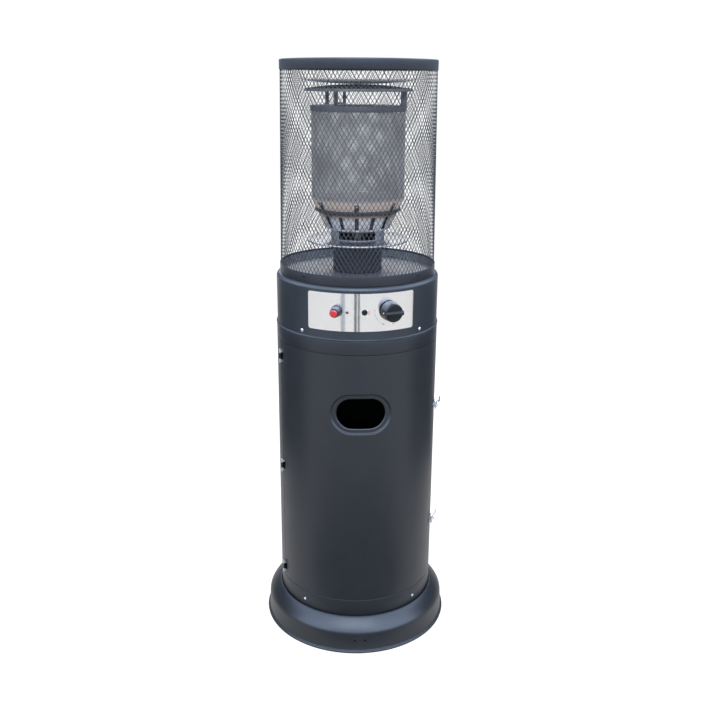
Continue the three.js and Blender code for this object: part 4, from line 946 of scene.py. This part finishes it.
def make_grip(reach, face, far):
    """The bar across the knob's face: it swells to the middle, and its long edges are rounded."""
    rows = []
    for share in steps(-1, 1, 24):
        half = GRIP_HALF + GRIP_SWELL * (1 - share ** 2)
        height = (far - face) * (1 - 0.3 * abs(share) ** 8)
        row = []
        for turn in [radians(t) for t in range(0, 181, 15)]:
            depth = face - GRIP_FOOT + (height + GRIP_FOOT) * sin(turn) ** 0.8
            row.append(knob_place @ Vector((share * reach, -depth, -cos(turn) * half)))
        rows.append(row)
    return make("knob_grip", *bar(rows), BLACK_PLASTIC, "black_plastic", "knob")


IGNITER_NEAR = 1.9 * MM
IGNITER_LONG = 24.0 * MM
IGNITER_RADIUS = 11.6 * MM
IGNITER_FRONT = 10.0 * MM
BUTTON_RADIUS = 8.1 * MM
BUTTON_GAP = 0.3 * MM
BUTTON_POCKET = 15.0 * MM


def make_igniter():
    far = IGNITER_NEAR + IGNITER_LONG
    bore = BUTTON_RADIUS + BUTTON_GAP
    pocket = far - BUTTON_POCKET
    outline = [*beside(0, 0, (0, -48), (8.6, -48), (9.3, -47)), *beside(0, IGNITER_NEAR, (9.3, 0)),
               *beside(IGNITER_RADIUS, IGNITER_NEAR, (1.4, 0), (1.4, 2), (0, 3.2)),
               *beside(IGNITER_FRONT, IGNITER_NEAR + 0.7 * IGNITER_LONG, (1, 0)),
               *beside(IGNITER_FRONT, far, (0, -1.2), (-0.6, 0)), (bore, far), (bore, pocket), (0, pocket)]
    dress("igniter_body", *turned_out(rounded(outline, 0.5 * MM), igniter_place, 56), BLACK_PLASTIC)
    cap_near = pocket + 4.8 * MM
    cap_far = far + 5 * MM
    cap = [(0, cap_near), (BUTTON_RADIUS, cap_near),
           *beside(BUTTON_RADIUS, cap_far, (0, -1.4), (-0.35, -0.55), (-1.1, -0.1), (-2.2, 0)), (0, cap_far)]
    dress("igniter_button", *turned_out(cap, igniter_place, 56), RED_PLASTIC)


FITTING_NEAR = 1.6 * MM
SIGHT_RADIUS = 6.5 * MM
LENS_RADIUS = 3.5 * MM
LENS_RISE = 1.8 * MM


def make_small_fittings():
    sight = [*beside(0, 0, (0, -4), (4.2, -4)), *beside(0, FITTING_NEAR, (4.2, 0)),
             *beside(SIGHT_RADIUS, FITTING_NEAR, (0, 0), (0, 0.9), (-0.5, 1.5), (-1.3, 1.8), (-1.9, 1.4),
                     (-2.3, 0.7)), *beside(0, FITTING_NEAR, (0, 0.5))]
    dress("sight_port", *turned_out(sight, sight_place), BLACK_PLASTIC)
    lens = [*beside(0, 0, (0, -4), (2.2, -4)), *beside(0, FITTING_NEAR, (2.2, 0)),
            *arc(0, FITTING_NEAR, LENS_RADIUS, LENS_RISE, range(0, 90, 10)), (0, FITTING_NEAR + LENS_RISE)]
    dress("indicator_lens", *turned_out(lens, indicator_place, 32), RED_LENS)


PRINT_LIFT = 0.06 * MM
DIAL_RADIUS = 33.0 * MM
ARC_WIDTH = 0.7 * MM
MARK_WIDTH = 2.2 * MM
DIAL_MARKS = [("dial_mark_pilot", 244, 250), ("dial_mark_high", 285, 291), ("dial_off", 176.2, 179.8)]
SIGHT_MARKS = [("sight_arc_inner", 9.0 * MM, -38, 22), ("sight_arc_outer", 11.2 * MM, -30, 14)]


def print_arc(name, angle, height, radius, start, end, width, material):
    """A thin printed arc on the panel: its turn counts from 3 o'clock, counter-clockwise as seen."""
    wall = COLLAR_RADIUS + PANEL_GAP + SHEET
    rows = []
    for turn in steps(radians(start), radians(end), max(3, int(abs(end - start) / 4))):
        row = []
        for side, lift in ((-1, -1), (-1, 1), (1, 1), (1, -1)):
            reach = radius + side * width / 2
            spot = polar(angle + degrees(reach * cos(turn) / wall), wall + lift * PRINT_LIFT)
            row.append((*spot, height + reach * sin(turn)))
        rows.append(row)
    make(name, *bar(rows), material, "stainless", smooth=False)


def make_marks():
    dial = (KNOB_ANGLE, CONTROL_HEIGHT, DIAL_RADIUS)
    print_arc("dial_arc", *dial, 183, 250, 0.5 * MM, GREY_PRINT)
    for name, start, end in DIAL_MARKS:
        print_arc(name, *dial, start, end, MARK_WIDTH, RED_PRINT)
    for name, radius, start, end in SIGHT_MARKS:
        print_arc(name, SIGHT_ANGLE, FITTING_HEIGHT, radius, start, end, ARC_WIDTH, RED_PRINT)


# Guard

MESH_COLUMNS = 114
MESH_ROWS = 29
STRAND_WIDTH = 1.15 * MM
STRAND_THICK = 0.5 * MM
STRAND_TILT = 0.2 * MM
GUARD_TOP_RADIUS = 174.0 * MM


def make_guard_mesh():
    """Expanded metal: each diamond is a ring around its opening, and its strands lean like louvres."""
    _, bottom, top = extent("guard_mesh_front")
    bottom_radius = -low("guard_mesh_front").y
    across = 2 * MESH_COLUMNS
    up = 2 * MESH_ROWS
    half_wide = pi * bottom_radius / MESH_COLUMNS
    half_tall = (top - bottom) / up
    reach = half_wide * half_tall / hypot(half_wide, half_tall)
    share = 1 - STRAND_WIDTH / 2 / reach
    verts = []
    faces = []

    def point(i, j, inward):
        part = j / up
        radius = bottom_radius + (GUARD_TOP_RADIUS - bottom_radius) * part - inward
        return grow(verts, (*polar(360 * i / across, radius), bottom + (top - bottom) * part))

    rim_point = cache(point)

    def ring(grid):
        middle = [sum(spot[axis] for spot in grid) / len(grid) for axis in (0, 1)]
        holes = [[middle[axis] + (spot[axis] - middle[axis]) * share for axis in (0, 1)] for spot in grid]
        lean = [STRAND_TILT * (1 - max(-1, min(1, spot[1] - middle[1]))) for spot in grid]
        outer, inner = ([rim_point(i % across, j, inward) for i, j in grid]
                        for inward in (STRAND_TILT, STRAND_TILT + STRAND_THICK))
        near = [point(*hole, turn) for hole, turn in zip(holes, lean)]
        back = [point(*hole, turn + STRAND_THICK) for hole, turn in zip(holes, lean)]
        faces.extend([*band(outer, near), *band(near, back), *band(back, inner)])
        edges = band(inner, outer)
        faces.extend(edges[k] for k in range(len(grid)) if grid[k][1] == grid[(k + 1) % len(grid)][1])

    for i in range(across):
        for j in range((i + 1) % 2, up + 1, 2):
            grid = [(i + 1, j), (i, j + 1), (i - 1, j), (i, j - 1)]
            ring([spot for spot in grid if 0 <= spot[1] <= up])
    make("guard_mesh_fine", verts, faces, MESH_BLACK, "black_coat", "root",
         ["guard_mesh_front", "guard_mesh_back"], smooth=False)


DECK_FLOOR = 900.0 * MM
DECK_HOLE = 50.0 * MM
COVER_CROWN = 1.0 * MM
COVER_CROWN_SHARES = [(0, 0), (0.3, 0.1), (0.6, 0.3), (0.9, 0.8)]


def make_guard():
    upright = [(band_radius, band_top), (band_radius, band_foot)]
    turned("guard_lower_band", pressed(upright, SHEET, 0.45 * MM), COAT)
    radius, foot, top = extent("top_deck")
    inner = radius - THIN_SHEET
    deck = [(DECK_HOLE, foot), (radius, foot), (radius, top), (inner, top), (inner, DECK_FLOOR),
            (DECK_HOLE, DECK_FLOOR)]
    turned("top_deck", rounded(deck, 1.2 * MM), DECK_STEEL)
    radius, skirt, top = extent("guard_top_cover")
    edge = top - COVER_CROWN
    crown = [(out * radius, top - drop * COVER_CROWN) for out, drop in COVER_CROWN_SHARES]
    line = [*eased([*crown, *beside(radius, edge, (-2.6, 0))]),
            *beside(radius, edge, (-1.3, -0.25), (-0.4, -0.9), (-0.05, -1.7), (0, -2.6)),
            *beside(radius, skirt, (0, 0.6), (-0.15, 0.15), (-0.5, 0))]
    turned("guard_top_cover", sheet_outline(line, SHEET), COAT)
    make_guard_mesh()


# Burner

BURNER_TURN = -4.5
DRUM_WALL = 1.2 * MM
THROAT = 15.3 * MM
WINDOW_HALF = 42
WINDOW_FOOT = 3.0 * MM
WINDOW_HEAD = 21.5 * MM
LINE_HOLE = 3.4 * MM
LINE_RADIUS = 46.0 * MM
CONE_BORE = 32.4 * MM
CONE_LOW = 74.0 * MM
CONE_SLOTS = 15
SLOT_HALF = 4.6 * MM
SHADE_LINER_GAP = 4.0 * MM


def line_holes(height):
    holes = []
    for angle in (-14, 0, 14):
        x, y = polar(angle, LINE_RADIUS)
        verts, faces = lathe(rod(LINE_HOLE, height - 2 * MM, height + 4 * MM), 24)
        holes.append(([(vx + x, vy + y, vz) for vx, vy, vz in verts], faces))
    return holes


def make_burner():
    radius, foot, top = extent("burner_drum")
    lip = radius - 5 * DRUM_WALL
    drum = [(lip, top), (radius, top), (radius, foot), (lip, foot)]
    turned("burner_drum", pressed(drum, DRUM_WALL, 1.6 * MM), MATT_BLACK, BURNER_SEGMENTS)

    radius, foot, top = extent("heat_shield")
    plate = [(lip, top), *beside(radius, top, (-2, 0), (-0.7, -0.4), (-0.1, -1.3)),
             *beside(radius, foot, (0, 0.8), (-0.3, 0))]
    turned("heat_shield", sheet_outline(plate, SHEET), SHIELD_SHEET, BURNER_SEGMENTS)

    radius, foot, top = extent("burner_base")
    cup = pressed([(radius, top), (radius, foot), (THROAT, foot)], THIN_SHEET, 0.9 * MM, 2)
    window = arc_block(radius / 2, radius + 2 * MM, BURNER_TURN - WINDOW_HALF, BURNER_TURN + WINDOW_HALF,
                       foot + WINDOW_FOOT, foot + WINDOW_HEAD)
    cut(turned("burner_base", cup, SHIELD_SHEET, BURNER_SEGMENTS), window, *line_holes(foot))


def make_cone():
    radius, foot, top = extent("burner_cone")
    floor = foot + THIN_SHEET
    outline = [(CONE_BORE, foot), *beside(CONE_LOW, foot, (-0.6, 0), (0.4, 0.5)), (radius, top),
               *beside(radius, top, (-1.2, 0)), *beside(CONE_LOW, floor, (-0.8, 0)), (CONE_BORE, floor)]
    cone = turned("burner_cone", outline, CONE, BURNER_SEGMENTS)
    slot_foot = 0.1 * (top - foot)
    slot_head = 0.82 * (top - foot)
    slots = [block(station(BURNER_TURN + 360 * i / CONE_SLOTS, 0, foot), (-SLOT_HALF, -104 * MM, slot_foot),
                   (SLOT_HALF, -30 * MM, slot_head)) for i in range(CONE_SLOTS)]
    cut(cone, *slots, *line_holes(foot))
    paint_shade_inside(cone)
    # A matt black sheet just inside the cone, which stands for no real part: painted shade, so that the
    # cone's slots show dark.
    low_shade_liner = CONE_LOW - SHADE_LINER_GAP
    high_shade_liner = radius - SHADE_LINER_GAP
    shade_liner_foot = foot + 1.5 * THIN_SHEET
    shade_liner = [(low_shade_liner, shade_liner_foot), *beside(high_shade_liner, top, (0, -0.6)),
             *beside(radius, top, (-1.6, -0.6), (-1.6, -0.1)), *beside(high_shade_liner, top, (-1.2, -0.1)),
             *beside(low_shade_liner, shade_liner_foot, (-1.2, 0))]
    make("burner_shade_liner", *lathe(shade_liner, BURNER_SEGMENTS), MATT_BLACK, "black_coat")


def paint_shade_inside(cone):
    """Gives the faces that look at the flame, into the cone or upwards, a matt black that is painted shade.
    """
    # Faces that look inwards or upwards take the second, matt black material as painted shade.
    cone.data.materials.append(MATT_BLACK)
    for face in cone.data.polygons:
        outward = face.center.x * face.normal.x + face.center.y * face.normal.y
        if outward < 0 or face.normal.z > 0.3:
            face.material_index = 1


# Emitter and reflectors

EMITTER_FOOT = 97.0 * MM
EMITTER_TAPER = 18.0 * MM
HOLE_PITCH = 4.2 * MM
HOLE_SHARE = 0.62
RING_RIM = 7.0 * MM


def make_screen():
    """The emitter: a stainless tube with round holes in staggered rows above a plain flared foot."""
    radius, foot, top = extent("emitter_screen")
    flare_foot = low("emitter_ring").z + RING_RIM
    flare_top = flare_foot + EMITTER_TAPER
    start = flare_top + 1.5 * MM
    tall = top - 7 * MM - start
    columns = round(2 * pi * radius / HOLE_PITCH)
    rows = round(tall / (HOLE_PITCH * sqrt(3) / 2))
    row_height = tall / rows
    verts = []
    faces = []
    known = {}

    def at(turn, height):
        key = (round(turn % columns, 4), round(height / row_height * 12))
        if key not in known:
            share = min(1, max(0, (height - flare_foot) / EMITTER_TAPER))
            wide = EMITTER_FOOT + (radius - EMITTER_FOOT) * share
            known[key] = grow(verts, (*polar(360 * turn / columns, wide), height))
        return known[key]

    around = ((0.5, -1), (0.5, 1), (0, 1), (-0.5, 1), (-0.5, -1), (0, -1))
    for j in range(rows):
        middle = start + (j + 0.5) * row_height
        for i in range(columns):
            centre = i + 0.5 * (j % 2)
            corners = [at(centre + side, middle + rise * row_height / 2) for side, rise in around]
            hole = arc(centre, middle, HOLE_SHARE / 2, HOLE_SHARE / 2 * HOLE_PITCH, range(-30, 271, 60))
            ring = [grow(verts, (*polar(360 * turn / columns, radius), height)) for turn, height in hole]
            faces += band(corners, ring)
    for heights in ((foot, flare_foot), (flare_foot, flare_top), (flare_top, start), (start + tall, top)):
        faces += band(*[[at(i / 2, height) for i in range(2 * columns)] for height in heights])
    dress("emitter_screen", verts, faces, EMITTER, 0.6 * MM)


RING_TABS = 7
TAB_HALF = 5.0 * MM
TAB_RISE = 16.0 * MM
RIVET_SHARE = 0.75


def make_ring_tabs(inner, foot):
    """Strips that stand up from the ring along the screen's flared foot, each with a rivet."""
    lean = (high("emitter_screen").y - EMITTER_FOOT) * TAB_RISE / EMITTER_TAPER
    rim = foot + RING_RIM
    line = [(inner, foot + THIN_SHEET), (inner, rim), (inner + lean, rim + TAB_RISE)]
    section = ((-1, 0), (1, 0), (1, THIN_SHEET), (-1, THIN_SHEET))
    rivet = rounded([(0, 0), *beside(0, 0, (2.2, 0), (1.7, 1)), (0, 1.3 * MM)], 0.5 * MM)
    for i in range(RING_TABS):
        angle = BURNER_TURN + 360 * i / RING_TABS
        place = station(angle, 0, 0)
        rows = [[place @ Vector((side * TAB_HALF, -(radius + depth), height)) for side, depth in section]
                for radius, height in line]
        bevelled(make(f"ring_tab_{i + 1}", *bar(rows), MATT_BLACK, "black_coat"), 0.2 * MM)
        spot = station(angle, inner + RIVET_SHARE * lean + 0.4 * MM, rim + RIVET_SHARE * TAB_RISE)
        make(f"ring_rivet_{i + 1}", *turned_out(rivet, spot, 20), ZINC, "zinc")


SCREEN_GAP = 0.3 * MM
RING_BORE = 92.1 * MM
CAP_RIM = 12.0 * MM
SUPPORT_COUNT = 3


def make_emitter():
    foot = low("emitter_ring").z
    floor = foot + THIN_SHEET
    top = foot + RING_RIM
    outer = EMITTER_FOOT + 2 * THIN_SHEET
    screen = EMITTER_FOOT + SCREEN_GAP
    ring = [(RING_BORE, foot), (outer, foot), (outer, top), (screen, top), (screen, floor),
            (RING_BORE, floor)]
    turned("emitter_ring", rounded(ring, 0.5 * MM, 2), MATT_BLACK, BURNER_SEGMENTS)
    make_ring_tabs(EMITTER_FOOT + 2 * SCREEN_GAP, foot)
    make_screen()
    outer, _, top = extent("emitter_cap")
    screen = high("emitter_screen").y + SCREEN_GAP
    rim = top - CAP_RIM
    under = top - THIN_SHEET
    cap = [(0, top), (outer, top), (outer, rim), (screen, rim), (screen, under), (0, under)]
    turned("emitter_cap", rounded(cap, 0.7 * MM), DARK_STEEL, BURNER_SEGMENTS)
    for i in range(SUPPORT_COUNT):
        refined(f"reflector_support_{i + 1}", SUPPORT_SHEET)


REFLECTOR_SHEET = 0.8 * MM
REFLECTOR_BORE = 3.3 * MM
REFLECTOR_SEAT = 1308.3 * MM
DISH_SHARES = [(0.4, 0.13), (0.8, 0.6)]


def make_reflectors():
    rim, foot, apex = extent("lower_reflector")
    dome = [(share * rim, apex - drop * MM) for share, drop in ((0.2, 0.3), (0.4, 1.4), (0.65, 3.8))]
    line = eased([(REFLECTOR_BORE, apex), *dome, *beside(0.85 * rim, REFLECTOR_SEAT, (0, 2)),
                  *beside(rim, REFLECTOR_SEAT, (-1.6, 0.5), (-0.4, -0.5), (0, -2.2)), (rim, foot)])
    turned("lower_reflector", sheet_outline(line, REFLECTOR_SHEET), LOWER_SHEET, BURNER_SEGMENTS)
    rim, foot, top = extent("upper_reflector")
    foot += THIN_SHEET
    rise = top - foot
    dish = [(out * rim, foot + up * rise) for out, up in DISH_SHARES]
    line = eased([(REFLECTOR_BORE, foot), *dish, *beside(rim, foot + 0.93 * rise, (-2, 0)),
                  *beside(rim, top, (0, -0.3))], 6)
    turned("upper_reflector", sheet_outline(line, REFLECTOR_SHEET), UPPER_SHEET, BURNER_SEGMENTS)


# Screws, and what stays as the CAD made it

RECESS_SLACK = 1.0 * MM


def screw(name, angle, radius, height, head, metal=ZINC):
    """A pan-head screw with a cross recess, standing on the wall."""
    place = station(angle, radius, height)
    rise = 0.42 * head
    outline = [*beside(0, 0, (0, -1.5)), *beside(head / 2, 0, (0, -1.5), (0, 0.05)),
               *beside(head, 0, (0, 0.05)), *arc(0, 0.35 * rise, head, 0.65 * rise, range(0, 90, 10)),
               (0, rise)]
    piece = make(name, *turned_out(outline, place, 28), metal, "zinc")
    for wide, tall in ((head / 2, 0.13 * head), (0.13 * head, head / 2)):
        cut(piece, block(place, (-wide, -rise - RECESS_SLACK, -tall), (wide, -rise / 2, tall)))


def make_screws():
    for i, angle in enumerate((-43.5, 45, 135, -135), 1):
        screw(f"collar_screw_{i}", angle, COLLAR_RADIUS, 790.0 * MM, 4.2 * MM)
        screw(f"band_screw_{i}", angle, band_radius, 913.0 * MM, 3.4 * MM, BLACK_ZINC)
        screw(f"ring_screw_{i}", angle, body_radius, 99.0 * MM, 3.8 * MM)


def dress_nodes():
    for node, thing in frame["nodes"].items():
        thing.data.materials.clear()
        thing.data.materials.append(FINISHES[SLOTS[node]])


def make_small_parts():
    for node in sorted(frame["nodes"]):
        if node.startswith(("hinge_", "latch_")):
            refined(node, BLACK_ZINC if node.startswith("hinge_frame") else FINISHES[SLOTS[node]])


make_camera()
make_floor()
make_world()
make_lights()
make_boards()
dress_nodes()
make_base()
make_bottle_floor()
make_rings()
make_cabinet()
make_collar()
make_panel()
make_knob()
make_igniter()
make_small_fittings()
make_marks()
make_guard()
make_burner()
make_cone()
make_emitter()
make_reflectors()
make_screws()
make_small_parts()

bpy.context.scene.view_settings.view_transform = "Standard"
